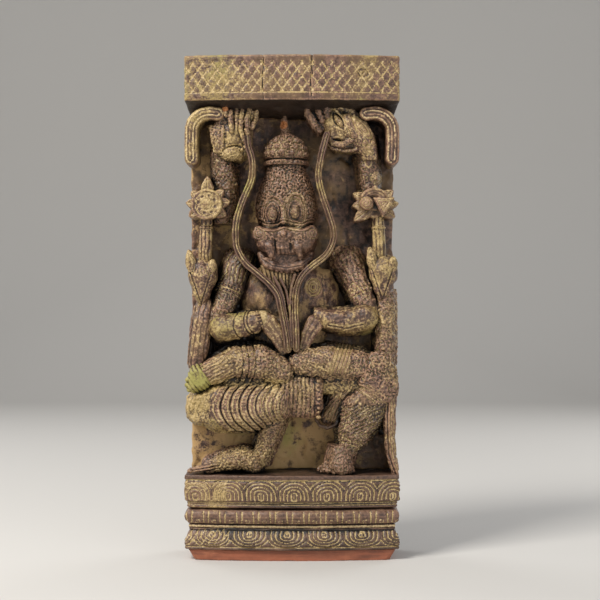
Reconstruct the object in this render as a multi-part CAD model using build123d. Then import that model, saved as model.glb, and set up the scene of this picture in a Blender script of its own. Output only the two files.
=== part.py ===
"""Carved wooden relief panel: a lion-faced deity with eight arms and a figure lying across its lap.

Millimetres. +Z is up, the carved front faces -Y, the flat back faces +Y, and the origin is the centre of the
footprint. Left and right are the viewer's. Every carved member runs back to the board, as it does in a relief,
and each is a solid of its own, seated against its neighbours.
"""
from build123d import *
import os

# Driving dimensions of the block
HEIGHT = 610.0
WIDTH = 262.0
DEPTH = 90.0
BOW = 12.0
BOARD_THICKNESS = 24.0
BOARD_WIDTH = 252.0

HALF_WIDTH = WIDTH / 2
FRONT = -DEPTH / 2
BACK = DEPTH / 2
BOARD_FRONT = BACK - BOARD_THICKNESS

# Levels of the stepped base and of the capital
PLINTH_TOP = 13.0
LOWER_LOTUS_TOP = 39.0
BAND_TOP = 62.0
LEDGE = 103.0
CAPITAL_FOOT = 542.0
CAPITAL_EDGE = 556.0

# The deity stands a little to the left of the middle
FACE_X = -8.0

# Carved strands that run from the raised hands to the belly
STRAND_WIDTH = 9.5
LEFT_STRAND = [(-53, 500), (-49, 470), (-66, 412), (-63, 372), (-36, 342), (-15, 314), (-6, 256)]
RIGHT_STRAND = [(40, 505), (33, 466), (49, 404), (44, 372), (15, 347), (4, 316), (6, 256)]

# Hanging ring, in a pocket of the back
RING_RADIUS = 13.0
RING_WIRE = 1.5
STAPLE_WIRE = 1.2
STAPLE_PLAY = 0.5
POCKET_DEPTH = 9.0
POCKET_LENGTH = 70.0
POCKET_WIDTH = 38.0
RING_AXIS_Z = 500.0
RING_AXIS_Y = BACK - POCKET_DEPTH / 2

CHIP_SHARE = 0.03  # a fragment under this share of its member is a chip, and is dropped


# ---------------------------------------------------------------- outlines in the front view, (x, z)
def disc(x, z, radius):
    return Pos(x, z) * Circle(radius)


def taper(*circles):
    """Outline round a chain of circles (x, z, radius), each pair joined by its tangents."""
    outline = None
    for first, second in zip(circles, circles[1:]):
        pair = make_hull((disc(*first) + disc(*second)).edges())
        outline = pair if outline is None else outline + pair
    return outline


def slab(x_low, x_high, z_low, z_high, corner):
    centre = Pos((x_low + x_high) / 2, (z_low + z_high) / 2)
    return centre * RectangleRounded(x_high - x_low, z_high - z_low, corner)


def polygon(*points):
    return make_face(Polyline(*points, close=True))


def ribbon(points, width):
    """Strip of even width along a chain of tangent arcs, which sets off straight down."""
    heading = (0, -1)
    arcs = []
    for start, end in zip(points, points[1:]):
        arc = TangentArc(start, end, tangent=heading)
        heading = arc % 1
        arcs.append(arc.edge())
    return make_face(offset(Wire(arcs), amount=width / 2, side=Side.BOTH).edges())


def petal(x, z, length, width, angle):
    """Leaf outline: two arcs from its root at (x, z) to its tip."""
    right = ThreePointArc((0, 0), (width / 2, length * 0.45), (0, length))
    left = ThreePointArc((0, length), (-width / 2, length * 0.45), (0, 0))
    return Pos(x, z) * Rot(0, 0, angle) * make_face([right, left])


# ---------------------------------------------------------------- solids
def relief(outline, front, back=BOARD_FRONT, edge=0.0):
    """Carves an outline from depth `back` out to depth `front`, and rounds its front edges."""
    solid = extrude(Plane.XZ.offset(-back) * outline, amount=back - front)
    if edge:
        rim = solid.edges().filter_by_position(Axis.Y, front - 0.01, front + 0.01)
        solid = fillet(rim, edge)
    return solid


def bowed_plan(half_width, front):
    """Plan of a course: straight back and ends, and a front that bows out towards the middle."""
    corner = front + BOW
    bow = ThreePointArc((-half_width, corner), (0, front), (half_width, corner))
    rest = Polyline((half_width, corner), (half_width, BACK), (-half_width, BACK), (-half_width, corner))
    return make_face([bow, *rest.edges()])


def course(*levels):
    """Moulding through bowed plans, one for each (z, half width, front)."""
    return loft([Pos(0, 0, z) * bowed_plan(half_width, front) for z, half_width, front in levels], ruled=True)


def turned(profile, x, y):
    """Solid turned about a vertical axis at (x, y) from a list of edges, given as (radius, z)."""
    return Pos(x, y, 0) * revolve(Plane.XZ * make_face(profile), Axis.Z)


# ---------------------------------------------------------------- board, capital and base
def back_board():
    middle = (LEDGE + CAPITAL_FOOT) / 2
    board = Pos(0, BACK - BOARD_THICKNESS / 2, middle) * Box(BOARD_WIDTH, BOARD_THICKNESS, CAPITAL_FOOT - LEDGE)
    mouth = Pos(0, RING_AXIS_Z - RING_RADIUS / 2) * Rot(0, 0, 90) * SlotOverall(POCKET_LENGTH, POCKET_WIDTH)
    return board - extrude(Plane.XZ.offset(-BACK) * mouth, amount=POCKET_DEPTH)


def capital():
    """Block with a bowed front, whose underside slopes back to the scrolls."""
    block = Pos(0, 0, CAPITAL_FOOT) * extrude(bowed_plan(HALF_WIDTH, FRONT), amount=HEIGHT - CAPITAL_FOOT)
    under = Polyline(
        (FRONT - 1, CAPITAL_FOOT - 1), (FRONT - 1, CAPITAL_EDGE), (FRONT + BOW, CAPITAL_EDGE),
        (FRONT + 34, CAPITAL_FOOT), (FRONT + 34, CAPITAL_FOOT - 1), close=True
    )
    return block - extrude(Plane.YZ * make_face(under), amount=HALF_WIDTH + 1, both=True)


def plinth():
    return course((0, HALF_WIDTH - 12, FRONT + 7), (PLINTH_TOP, HALF_WIDTH - 4, FRONT + 5))


def lower_lotus():
    return course(
        (PLINTH_TOP, HALF_WIDTH - 2, FRONT + 2),
        (PLINTH_TOP + 8, HALF_WIDTH, FRONT),
        (LOWER_LOTUS_TOP - 8, HALF_WIDTH - 3, FRONT + 5),
        (LOWER_LOTUS_TOP, HALF_WIDTH - 8, FRONT + 10),
    )


def middle_band():
    return course(
        (LOWER_LOTUS_TOP, HALF_WIDTH - 6, FRONT + 8),
        (LOWER_LOTUS_TOP + 5, HALF_WIDTH, FRONT + 2),
        (BAND_TOP - 7, HALF_WIDTH, FRONT + 2),
        (BAND_TOP, HALF_WIDTH - 7, FRONT + 9),
    )


def upper_lotus():
    return course(
        (BAND_TOP, HALF_WIDTH - 8, FRONT + 10),
        (BAND_TOP + 7, HALF_WIDTH - 1, FRONT + 3),
        (LEDGE - 8, HALF_WIDTH, FRONT + 1),
        (LEDGE, HALF_WIDTH - 1, FRONT + 2),
    )


# ---------------------------------------------------------------- scrolls and raised hands
def scroll(side):
    """Fluted band that leaves a raised hand, turns over the corner and hangs down the edge."""
    turn, band, drop = 22.5, 17.0, 34.0
    x, z = HALF_WIDTH - turn - band / 2, CAPITAL_FOOT + 8 - turn - band / 2
    over = Line((x - 22, z + turn), (x, z + turn))
    corner = CenterArc((x, z), turn, 90, -90)
    down = Line((x + turn, z), (x + turn, z - drop))
    path = Wire([*over.edges(), *corner.edges(), *down.edges()])
    outline = make_face(offset(path, amount=band / 2, side=Side.BOTH).edges())
    if side < 0:
        outline = mirror(outline, Plane.YZ)
    return relief(outline, FRONT + 14, edge=4)


def left_raised_hand():
    return relief(taper((-74, 502, 18), (-70, 521, 20), (-61, 538, 13)), FRONT + 14, edge=8)


def right_raised_hand():
    return relief(taper((53, 509, 15), (61, 521, 20), (76, 518, 17)), FRONT + 14, edge=8)


def right_raised_thumb():
    return relief(taper((44, 522, 8), (28, 544, 6)), FRONT + 18, edge=3)


def left_raised_arm():
    return relief(taper((-86, 425, 14), (-83, 487, 14)), FRONT + 30, edge=8)


def right_raised_arm():
    return relief(taper((94, 439, 13), (91, 502, 13)), FRONT + 28, edge=8)


# ---------------------------------------------------------------- crown, head and torso
def crown_cap():
    flare = Spline((36, 436), (30, 458), (21, 481))
    sides = Polyline((21, 481), (0, 481), (0, 436), (36, 436))
    return turned([flare, *sides.edges()], FACE_X, -4)


def crown_dome():
    ring = Polyline((0, 481), (26, 481), (28, 484), (26, 488))
    dome = Spline((26, 488), (29, 497), (21, 512), (7, 521))
    axis = Polyline((7, 521), (0, 521), (0, 481))
    return turned([*ring.edges(), dome, *axis.edges()], FACE_X, -4)


def crown_finial():
    leaf = Spline((4, 521), (7, 529), (1.5, 541))
    axis = Polyline((1.5, 541), (0, 541), (0, 521), (4, 521))
    return turned([leaf, *axis.edges()], FACE_X, -4)


def lion_head():
    skull = relief(slab(FACE_X - 37, FACE_X + 37, 385, 436, 17), FRONT + 12, edge=10)
    muzzle = relief(slab(FACE_X - 41, FACE_X + 41, 362, 408, 18), FRONT + 5, edge=12)
    return skull + muzzle


def chin_collar():
    return relief(taper((FACE_X - 24, 356, 9), (FACE_X + 22, 356, 9)), FRONT + 18, edge=3)


def mane():
    return relief(polygon((-38, 352), (14, 352), (6, 300), (-18, 300)), FRONT + 24)


def torso():
    outline = polygon((-67, 322), (-58, 356), (46, 356), (54, 322), (26, 250), (-31, 250))
    return relief(outline, FRONT + 26, edge=9)


# ---------------------------------------------------------------- arms
def left_upper_arm():
    return relief(taper((-62, 346, 17), (-76, 316, 15), (-90, 292, 14)), FRONT + 20, edge=8)


def left_forearm():
    return relief(taper((-83, 280, 18), (-40, 285, 13)), FRONT + 6, edge=11)


def left_tearing_hand():
    return relief(taper((-36, 284, 11), (-11, 254, 7)), FRONT + 10, edge=5)


def right_upper_arm():
    return relief(taper((62, 348, 18), (76, 322, 16), (93, 298, 14)), FRONT + 20, edge=8)


def right_forearm():
    return relief(taper((92, 289, 16), (43, 288, 13)), FRONT + 6, edge=10)


def right_tearing_hand():
    return relief(taper((37, 286, 11), (16, 257, 8)), FRONT + 10, edge=5)


def left_disc_arm():
    return relief(taper((-103, 404, 9), (-106, 366, 10)), FRONT + 22, edge=5)


def left_elbow_leaf():
    return relief(taper((-109, 352, 18), (-106, 322, 11)), FRONT + 12, edge=8)


def right_conch_arm():
    return relief(taper((104, 404, 9), (106, 368, 10)), FRONT + 22, edge=5)


def right_elbow_leaf():
    return relief(taper((111, 353, 18), (113, 330, 12)), FRONT + 12, edge=8)


def left_holding_arm():
    return relief(taper((-106, 300, 13), (-114, 240, 12)), FRONT + 18, edge=8)


def left_holding_hand():
    return relief(slab(-128, -97, 203, 236, 10), FRONT + 6, edge=8)


def right_holding_arm():
    return relief(taper((115, 314, 13), (116, 250, 13)), FRONT + 18, edge=8)


# ---------------------------------------------------------------- attributes
def flames(x, z, radius, reach, angles):
    """Disc behind an attribute, with a flame at each angle, counted from the top."""
    outline = disc(x, z, radius)
    for angle in angles:
        outline += petal(x, z, reach, 15, angle)
    return outline


def chakra():
    return relief(disc(-103, 430, 19), FRONT + 8, FRONT + 20, edge=2)


def chakra_flames():
    return relief(flames(-101, 430, 17, 27, (0, 50, 85, 120, -50, -85, -120)), FRONT + 20)


def conch():
    """Spindle-shaped shell lying across its flames."""
    shell = Spline((0, -21), (11, -8), (14, 2), (6, 14), (0, 21))
    spindle = revolve(Plane.XZ * make_face([shell, Line((0, 21), (0, -21))]), Axis.Z)
    return Pos(103, FRONT + 22, 430) * Rot(0, -90, 0) * spindle


def conch_flames():
    return relief(flames(101, 430, 16, 28, (0, 55, 90, 125, -55, -90, -125)), FRONT + 24)


def strand(points):
    return relief(ribbon(points, STRAND_WIDTH), FRONT + 8, FRONT + 34)


# ---------------------------------------------------------------- figure across the lap
def lap_figure_legs():
    return relief(taper((-92, 222, 19), (-50, 240, 20), (-24, 236, 23)), FRONT + 4, edge=12)


def lap_figure_body():
    return relief(taper((16, 232, 22), (72, 234, 22)), FRONT + 4, edge=12)


def lap_figure_knee():
    return relief(taper((98, 230, 22), (105, 206, 25)), FRONT + 2, edge=12)


def lap_figure_shin():
    return relief(taper((120, 196, 9), (119, 150, 8), (123, 112, 8)), FRONT + 10, edge=5)


# ---------------------------------------------------------------- legs
def left_thigh():
    return relief(taper((-105, 184, 23), (-72, 185, 31), (-28, 188, 29)), FRONT, edge=16)


def waist_pleat():
    return relief(slab(-14, 38, 172, 222, 4), FRONT + 8, edge=3)


def waist_tassel():
    return relief(petal(46, 190, 34, 24, 174), FRONT + 26)


def left_shin():
    return relief(taper((-19, 168, 11), (-41, 124, 11)), FRONT + 22, edge=7)


def left_foot():
    return relief(taper((-120, LEDGE + 6, 6), (-62, LEDGE + 14, 14), (-48, LEDGE + 14, 14)), FRONT + 10, edge=4)


def right_thigh():
    return relief(taper((72, 212, 19), (44, 172, 11)), FRONT + 26, edge=7)


def right_calf():
    return relief(taper((99, 200, 20), (87, 178, 26), (66, 140, 13)), FRONT + 4, edge=10)


def right_foot():
    return relief(taper((42, LEDGE + 7, 7), (61, LEDGE + 16, 15)), FRONT + 6, edge=4)


# ---------------------------------------------------------------- hanging hardware in the back
def ring_staple():
    """Bent wire: two legs driven into the board and an arch that the ring hangs in."""
    bend = RING_WIRE + STAPLE_PLAY + STAPLE_WIRE
    point = BOARD_FRONT + 4
    path = Wire([
        *Polyline((point, -bend), (RING_AXIS_Y, -bend)).edges(),
        *ThreePointArc((RING_AXIS_Y, -bend), (RING_AXIS_Y + bend, 0), (RING_AXIS_Y, bend)).edges(),
        *Polyline((RING_AXIS_Y, bend), (point, bend)).edges(),
    ])
    section = Plane(origin=(0, point, -bend), z_dir=(0, 1, 0)) * Circle(STAPLE_WIRE)
    return Pos(0, 0, RING_AXIS_Z) * sweep(section, path=Plane.YZ * path)


def hanging_ring():
    ring = Rot(90, 0, 0) * Torus(RING_RADIUS, RING_WIRE)
    return Pos(0, RING_AXIS_Y, RING_AXIS_Z - RING_RADIUS) * ring


# In the order of carving: a member gives way to every member above it in this list.
MEMBERS = {
    "ring_staple": ring_staple,
    "back_board": back_board,
    "capital": capital,
    "plinth": plinth,
    "lower_lotus": lower_lotus,
    "middle_band": middle_band,
    "upper_lotus": upper_lotus,
    "chakra": chakra,
    "conch": conch,
    "left_strand": lambda: strand(LEFT_STRAND),
    "right_strand": lambda: strand(RIGHT_STRAND),
    "left_holding_hand": left_holding_hand,
    "left_thigh": left_thigh,
    "right_calf": right_calf,
    "left_forearm": left_forearm,
    "right_forearm": right_forearm,
    "left_tearing_hand": left_tearing_hand,
    "right_tearing_hand": right_tearing_hand,
    "lap_figure_knee": lap_figure_knee,
    "lap_figure_legs": lap_figure_legs,
    "lap_figure_body": lap_figure_body,
    "lap_figure_shin": lap_figure_shin,
    "waist_pleat": waist_pleat,
    "waist_tassel": waist_tassel,
    "lion_head": lion_head,
    "crown_cap": crown_cap,
    "crown_dome": crown_dome,
    "crown_finial": crown_finial,
    "left_raised_hand": left_raised_hand,
    "right_raised_hand": right_raised_hand,
    "right_raised_thumb": right_raised_thumb,
    "left_scroll": lambda: scroll(-1),
    "right_scroll": lambda: scroll(1),
    "left_elbow_leaf": left_elbow_leaf,
    "right_elbow_leaf": right_elbow_leaf,
    "left_disc_arm": left_disc_arm,
    "right_conch_arm": right_conch_arm,
    "left_holding_arm": left_holding_arm,
    "right_holding_arm": right_holding_arm,
    "left_upper_arm": left_upper_arm,
    "right_upper_arm": right_upper_arm,
    "chin_collar": chin_collar,
    "mane": mane,
    "torso": torso,
    "chakra_flames": chakra_flames,
    "conch_flames": conch_flames,
    "left_raised_arm": left_raised_arm,
    "right_raised_arm": right_raised_arm,
    "left_foot": left_foot,
    "right_foot": right_foot,
    "left_shin": left_shin,
    "right_thigh": right_thigh,
}


def corners(solid):
    box = solid.bounding_box(optimal=False)
    return tuple(box.min), tuple(box.max)


def boxes_meet(first, second):
    return all(
        first[0][axis] < second[1][axis] and second[0][axis] < first[1][axis] for axis in range(3)
    )


def build():
    """Makes each member with a seat cut in it for every earlier member that it meets."""
    made = {}
    boxes = {}
    for name, make in MEMBERS.items():
        solid = make()
        box = corners(solid)
        for other in made:
            if boxes_meet(box, boxes[other]):
                solid = solid - made[other]
        whole = sum(part.volume for part in solid.solids())
        kept = [part for part in solid.solids() if part.volume > CHIP_SHARE * whole]
        made[name] = Compound(kept) if len(kept) > 1 else kept[0]
        boxes[name] = corners(made[name])
    made["hanging_ring"] = hanging_ring()
    return made


os.makedirs("parts", exist_ok=True)
for node, shape in build().items():
    export_step(shape, f"parts/{node}.step")
    volume = sum(part.volume for part in shape.solids()) / 1000
    print(f"{node:20s} solids {len(shape.solids())}  {volume:8.1f} cm3")
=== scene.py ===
"""Looks of the carved relief panel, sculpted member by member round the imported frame.

Each member is carved as a signed distance in a small block of voxels, then meshed. Inside a member's function
the units are millimetres, x and z are counted from the middle of its CAD node, and y from the node's front
face into the depth. Left and right are the viewer's.
"""
import bpy
import math
import numpy as np
import openvdb as vdb
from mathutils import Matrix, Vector


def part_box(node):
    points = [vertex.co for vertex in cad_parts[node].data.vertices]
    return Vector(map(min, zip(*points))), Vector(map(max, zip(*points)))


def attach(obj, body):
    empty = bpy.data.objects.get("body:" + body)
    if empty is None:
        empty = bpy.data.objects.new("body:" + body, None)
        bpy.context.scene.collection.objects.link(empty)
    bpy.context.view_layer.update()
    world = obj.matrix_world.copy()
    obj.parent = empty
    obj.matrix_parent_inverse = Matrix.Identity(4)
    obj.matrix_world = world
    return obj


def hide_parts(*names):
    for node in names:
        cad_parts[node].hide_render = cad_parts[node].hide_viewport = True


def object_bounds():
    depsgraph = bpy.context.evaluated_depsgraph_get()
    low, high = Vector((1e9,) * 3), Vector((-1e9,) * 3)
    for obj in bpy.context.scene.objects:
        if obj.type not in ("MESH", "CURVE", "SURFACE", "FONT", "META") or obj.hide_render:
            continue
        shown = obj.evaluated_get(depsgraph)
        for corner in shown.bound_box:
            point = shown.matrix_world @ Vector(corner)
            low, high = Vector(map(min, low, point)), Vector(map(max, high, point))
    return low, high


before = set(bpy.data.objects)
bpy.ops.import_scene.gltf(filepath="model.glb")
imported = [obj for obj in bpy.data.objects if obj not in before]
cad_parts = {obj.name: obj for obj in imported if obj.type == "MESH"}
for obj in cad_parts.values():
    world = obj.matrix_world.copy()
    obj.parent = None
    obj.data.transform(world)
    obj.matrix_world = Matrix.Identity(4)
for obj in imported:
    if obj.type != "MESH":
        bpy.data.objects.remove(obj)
cad_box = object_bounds()

MM = 0.001
BODY = "panel"
BOW = 12.0  # how much farther back the front of the block lies at its sides than in its middle
# pocket in the back: radius, half of its straight part, depth, and how far its middle is under the staple's
POCKET_RADIUS, POCKET_STRAIGHT, POCKET_DEPTH, POCKET_DROP = 19.0, 16, 9.0, 6.5
GOUGES = 120  # cuts left in the ground
# sizes of a voxel; the coarser ones keep the capital, the board and other large pieces under 200,000 faces
VOXEL, FINE, HEAD_VOXEL, MOULDING_VOXEL, CAPITAL_VOXEL, BOARD_VOXEL = (
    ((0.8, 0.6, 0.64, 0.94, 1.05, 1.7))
)


def in_mm(box):
    return [np.array(corner) / MM for corner in box]


PANEL_LOW, PANEL_HIGH = in_mm(cad_box)
HALF_WIDTH = (PANEL_HIGH[0] - PANEL_LOW[0]) / 2
PANEL_FRONT = PANEL_LOW[1]


# ------------------------------------------------------------------ distance helpers
def blend_min(a, b, k):
    """Union of two distances with a fillet of about k."""
    h = np.clip(0.5 + 0.5 * (b - a) / k, 0, 1)
    return b + (a - b) * h - k * h * (1 - h)


def blend_max(a, b, k):
    """Intersection of two distances with an edge rounded by about k."""
    return -blend_min(-a, -b, k)


def bell(distance, width):
    return np.exp(-((distance / width) ** 2))


def unit(value):
    return np.clip(value, 0, 1)


def bow_at(x):
    """How far back the bowed front lies at x."""
    return BOW * (x / HALF_WIDTH) ** 2


def closest(best, found):
    """Of two results that start with a distance, the one that is nearer, point by point."""
    if best is None:
        return found
    near = found[0] < best[0]
    return [np.where(near, new, old) for new, old in zip(found, best)]


def nearest_on(x, z, points):
    """For a polyline in the x-z plane: the distance to it, the same signed by side, and the run along it."""
    best, run = None, 0.0
    for a, b in zip(points, points[1:]):
        dx, dz = b[0] - a[0], b[1] - a[1]
        length = math.hypot(dx, dz)
        t = unit(((x - a[0]) * dx + (z - a[1]) * dz) / length**2)
        off_x, off_z = x - a[0] - t * dx, z - a[1] - t * dz
        side = np.where(off_x * dz - off_z * dx >= 0, 1.0, -1.0)
        best = closest(best, [np.hypot(off_x, off_z), side, t * length + run])
        run += length
    return best[0], best[1] * best[0], best[2]


def smooth_path(points, steps=8):
    """Catmull-Rom curve through the points, as a fine polyline."""
    p = [np.array(q, float) for q in points]
    p = [2 * p[0] - p[1], *p, 2 * p[-1] - p[-2]]
    out = []
    for a, b, c, d in zip(p, p[1:], p[2:], p[3:]):
        for i in range(steps):
            t = i / steps
            square, cube = (2 * a - 5 * b + 4 * c - d) * t**2, (3 * b - a - 3 * c + d) * t**3
            out.append(0.5 * (2 * b + (c - a) * t + square + cube))
    out.append(p[-2])
    return [tuple(q) for q in out]


def inside_polygon(x, z, points):
    """Signed distance to a closed polygon in the x-z plane."""
    dist, *_ = nearest_on(x, z, [*points, points[0]])
    inside = np.zeros(np.broadcast(x, z).shape, bool)
    for (ax, az), (bx, bz) in zip(points, [*points[1:], points[0]]):
        if az == bz:
            continue
        crosses = ((az > z) != (bz > z)) & (x < (bx - ax) * (z - az) / (bz - az) + ax)
        inside ^= crosses
    return np.where(inside, -dist, dist)


def box_blur(values, reach):
    """Running mean over `reach` cells to either side, along each axis."""
    size = 2 * reach + 1
    for axis in range(3):
        pad = [(0, 0)] * 3
        pad[axis] = (reach + 1, reach)
        total = np.cumsum(np.pad(values, pad, mode="edge"), axis=axis, dtype=np.float64)
        at = np.arange(values.shape[axis])
        values = ((np.take(total, at + size, axis) - np.take(total, at, axis)) / size).astype(np.float32)
    return values


def leaf_shape(x, z, root, length, width, angle):
    """Distance to a pointed leaf, then the places across and along it; angle is clockwise from upright."""
    a = math.radians(angle)
    px, pz = x - root[0], z - root[1]
    along = px * math.sin(a) + pz * math.cos(a)
    across = px * math.cos(a) - pz * math.sin(a)
    radius = (length**2 / 4 + width**2 / 4) / width
    return np.hypot(np.abs(across) + radius - width / 2, along - length / 2) - radius, across, along


# ------------------------------------------------------------------ clay
def write_attribute(me, name, values):
    """One number for each point of a mesh, for the materials to read."""
    me.attributes.new(name, "FLOAT", "POINT").data.foreach_set("value", values.astype(np.float32))


class Clay:
    """A block of voxels round one CAD node; d is the signed distance in millimetres, below zero in the wood."""

    def __init__(self, node, voxel=None, margin=3.0, sink=3.0, above=0.0, bowed=True):
        low, high = in_mm(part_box(node))
        self.node = node
        self.voxel = voxel or VOXEL
        self.middle = np.array([(low[0] + high[0]) / 2, low[1], (low[2] + high[2]) / 2])
        self.half = (high - low) / 2
        self.depth = high[1] - low[1]
        self.low = low - margin
        high = high + margin + np.array([0, 0, above])
        self.back = self.depth + sink
        high[1] = low[1] + self.back + 2 * self.voxel
        count = np.ceil((high - self.low) / self.voxel).astype(int) + 1
        steps = [self.voxel * np.arange(n, dtype=np.float32) for n in count]
        axes = [self.low[i] + steps[i] - self.middle[i] for i in range(3)]
        self.x, self.y, self.z = axes[0][:, None, None], axes[1][None, :, None], axes[2][None, None, :]
        self.d = np.full(count, 9.0, np.float32)
        self.line = np.zeros(count, np.float32)
        self.bowed = bowed
        self.trimmed = False
        self.chips = []  # (x, z, radius) of broken places
        self.coat_and_shade = 0.0  # more or less paint, and less or more grime and painted shade
        self.seed = sum(ord(letter) * (i + 1) for i, letter in enumerate(node))

    # -- solids
    def add(self, d, blend=2.0):
        self.d = blend_min(self.d, d, blend).astype(np.float32)

    def take(self, d, blend=1.5):
        self.d = blend_max(self.d, -d, blend).astype(np.float32)

    def ball(self, at, radii, angle=0):
        """Ellipsoid, turned in the front view by an angle clockwise."""
        a = math.radians(angle)
        dx, dz = self.x - at[0], self.z - at[2]
        u, w = dx * math.cos(a) - dz * math.sin(a), dx * math.sin(a) + dz * math.cos(a)
        px, py, pz = u / radii[0], (self.y - at[1]) / radii[1], w / radii[2]
        k0 = np.sqrt(px**2 + py**2 + pz**2) + 1e-6
        k1 = np.sqrt((px / radii[0]) ** 2 + (py / radii[1]) ** 2 + (pz / radii[2]) ** 2) + 1e-6
        return k0 * (k0 - 1) / k1

    def limb(self, points, radii):
        """Tapered tube through (x, y, z) points. Returns its distance, the run along it and the side offset."""
        best, run = None, 0.0
        for a, b, ra, rb in zip(points, points[1:], radii, radii[1:]):
            v = np.subtract(b, a).astype(float)
            length = np.linalg.norm(v)
            dx, dy, dz = self.x - a[0], self.y - a[1], self.z - a[2]
            t = unit((dx * v[0] + dy * v[1] + dz * v[2]) / length**2)
            off = np.sqrt((dx - t * v[0]) ** 2 + (dy - t * v[1]) ** 2 + (dz - t * v[2]) ** 2)
            d = off - (ra + t * (rb - ra))
            side = (dx * v[2] - dz * v[0]) / (math.hypot(v[0], v[2]) or 1.0)
            best = closest(best, [d, t * length + run, side + 0 * d])
            run += length
        return best

    def tube(self, points, radii, blend):
        self.add(self.limb(points, radii)[0], blend)

    def tubes(self, chains):
        for points, radii in chains:
            self.tube(points, radii, 0.9)

    def outline(self, points):
        return inside_polygon(self.x, self.z, points)

    def beside(self, path):
        return nearest_on(self.x, self.z, path)

    def off_axis(self, x, z):
        """Distance from a line that runs into the depth at x, z."""
        return np.hypot(self.x - x, self.z - z)

    def prism(self, outline, front, round_off=3.0, back=None):
        """Outline distance in the front view, carried from depth `front` to the back, with a rounded edge."""
        q1 = outline + round_off
        q2 = (front - self.y) + round_off
        d = np.minimum(np.maximum(q1, q2), 0) + np.hypot(np.maximum(q1, 0), np.maximum(q2, 0)) - round_off
        if back is not None:
            d = np.maximum(d, self.y - back)
        return d

    def stalk(self, points, radii, front, round_off=2.0, blend=3.0):
        """The wood that is left behind a limb, from it back to the board."""
        outline = None
        for a, b, ra, rb in zip(points, points[1:], radii, radii[1:]):
            dx, dz = b[0] - a[0], b[1] - a[1]
            t = unit(((self.x - a[0]) * dx + (self.z - a[1]) * dz) / (dx * dx + dz * dz))
            d = np.hypot(self.x - a[0] - t * dx, self.z - a[1] - t * dz) - (ra + t * (rb - ra))
            outline = d if outline is None else np.minimum(outline, d)
        self.add(self.prism(outline, front, round_off), blend)

    def trim(self, blend=1.5):
        """Cuts the clay back to the bowed front and the sides of the block."""
        if self.bowed:
            bow = bow_at(self.x + self.middle[0]) + PANEL_FRONT - self.middle[1]
            self.d = blend_max(self.d, bow + 0.4 - self.y, blend)
            self.d = blend_max(self.d, np.abs(self.x + self.middle[0]) - HALF_WIDTH + 0.3 + 0 * self.y, blend)

    # -- surface work
    def lower(self, depth):
        self.d = (self.d + depth).astype(np.float32)

    def incise(self, distance, depth=0.8, width=0.9, paint=1.0, where=1.0):
        """Cuts a line where the distance is nought, and lets paint lie in it."""
        cut = bell(distance, width) * where
        self.lower(depth * cut)
        self.line = np.maximum(self.line, paint * cut).astype(np.float32)

    def grooves(self, phase, pitch, depth, width, paint=1.0, where=1.0):
        """Cuts a line at each whole number of the phase; pitch turns the phase into millimetres."""
        self.incise(np.abs(phase - np.round(phase)) * pitch, depth, width, paint, where)

    def emboss(self, shape, height):
        self.d = (self.d - height * shape).astype(np.float32)

    def lumps(self, size, depth, seed=0):
        """Smooth random relief with bumps of about `size`."""
        values = np.random.default_rng(self.seed + seed)
        span = [self.d.shape[i] * self.voxel for i in range(3)]
        cells = [int(s / size) + 3 for s in span]
        grid = values.uniform(-1, 1, cells).astype(np.float32)
        for axis in range(3):
            at = np.arange(self.d.shape[axis]) * self.voxel / size
            whole = at.astype(int)
            part = at - whole
            part = (part * part * (3 - 2 * part)).astype(np.float32)
            part = part.reshape([-1 if i == axis else 1 for i in range(3)])
            grid = np.take(grid, whole, axis) * (1 - part) + np.take(grid, whole + 1, axis) * part
        return grid * depth

    def roughen(self, size, depth, seed=3):
        self.lower(self.lumps(size, depth, seed))

    def band(self, wave, seed, spread=0.35, angle=None, fan=0.12):
        """Random field of one wavelength: worm-like, or wavering grooves at an angle clockwise from upright."""
        shape = self.d.shape
        fx = np.fft.fftfreq(shape[0], self.voxel)[:, None, None]
        fy = np.fft.fftfreq(shape[1], self.voxel)[None, :, None]
        fz = np.fft.rfftfreq(shape[2], self.voxel)[None, None, :]
        f = np.sqrt(fx**2 + fy**2 + fz**2) + 1e-6
        gain = np.exp(-(((f * wave) - 1) / spread) ** 2)
        if angle is not None:
            a = math.radians(angle)
            gain *= np.exp(-(((1 - np.abs(fx * math.cos(a) - fz * math.sin(a)) / f) / fan) ** 2))
        noise = np.random.default_rng(self.seed + seed).standard_normal(shape, dtype=np.float32)
        field = np.fft.irfftn(np.fft.rfftn(noise) * gain, s=shape)
        return (field / field.std()).astype(np.float32)

    def engrave(self, field, depth, paint, mask):
        """Cuts the low parts of a random field away and lets paint lie in them."""
        if not self.trimmed:
            self.trim()
            self.trimmed = True
        cut = unit(0.5 - 0.8 * field) * mask
        self.lower(depth * cut)
        self.line = np.maximum(self.line, unit(2.2 * cut - 1.1) * paint).astype(np.float32)

    def curls(self, size, depth, mask=1.0):
        """Close-set worm-like curls, as carved hair or cut brocade."""
        self.engrave(self.band(0.84 * size, 9), 0.8 * depth, 0.55, mask)

    def hatch(self, angle, pitch, depth, mask=1.0):
        """Rows of wavering gouge cuts; angle is that of the cuts, clockwise from upright."""
        self.engrave(self.band(0.9 * pitch, 5, 0.3, angle), 0.9 * depth, 0.6, mask)

    # -- to a mesh
    def blurred(self, reach):
        return box_blur(self.d, max(1, int(round(reach / self.voxel))))

    def finish(self, material, slot="painted_wood", rough=None, grain=0.12):
        """Trims the clay to the block it was cut from, meshes it and puts it on its body."""
        if rough:
            self.roughen(*rough)
        self.roughen(2.2, grain, 77)
        self.trim(0.6)
        self.d = np.maximum(self.d, self.y - self.back).astype(np.float32)
        self.mesh(self.node, material)

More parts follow.
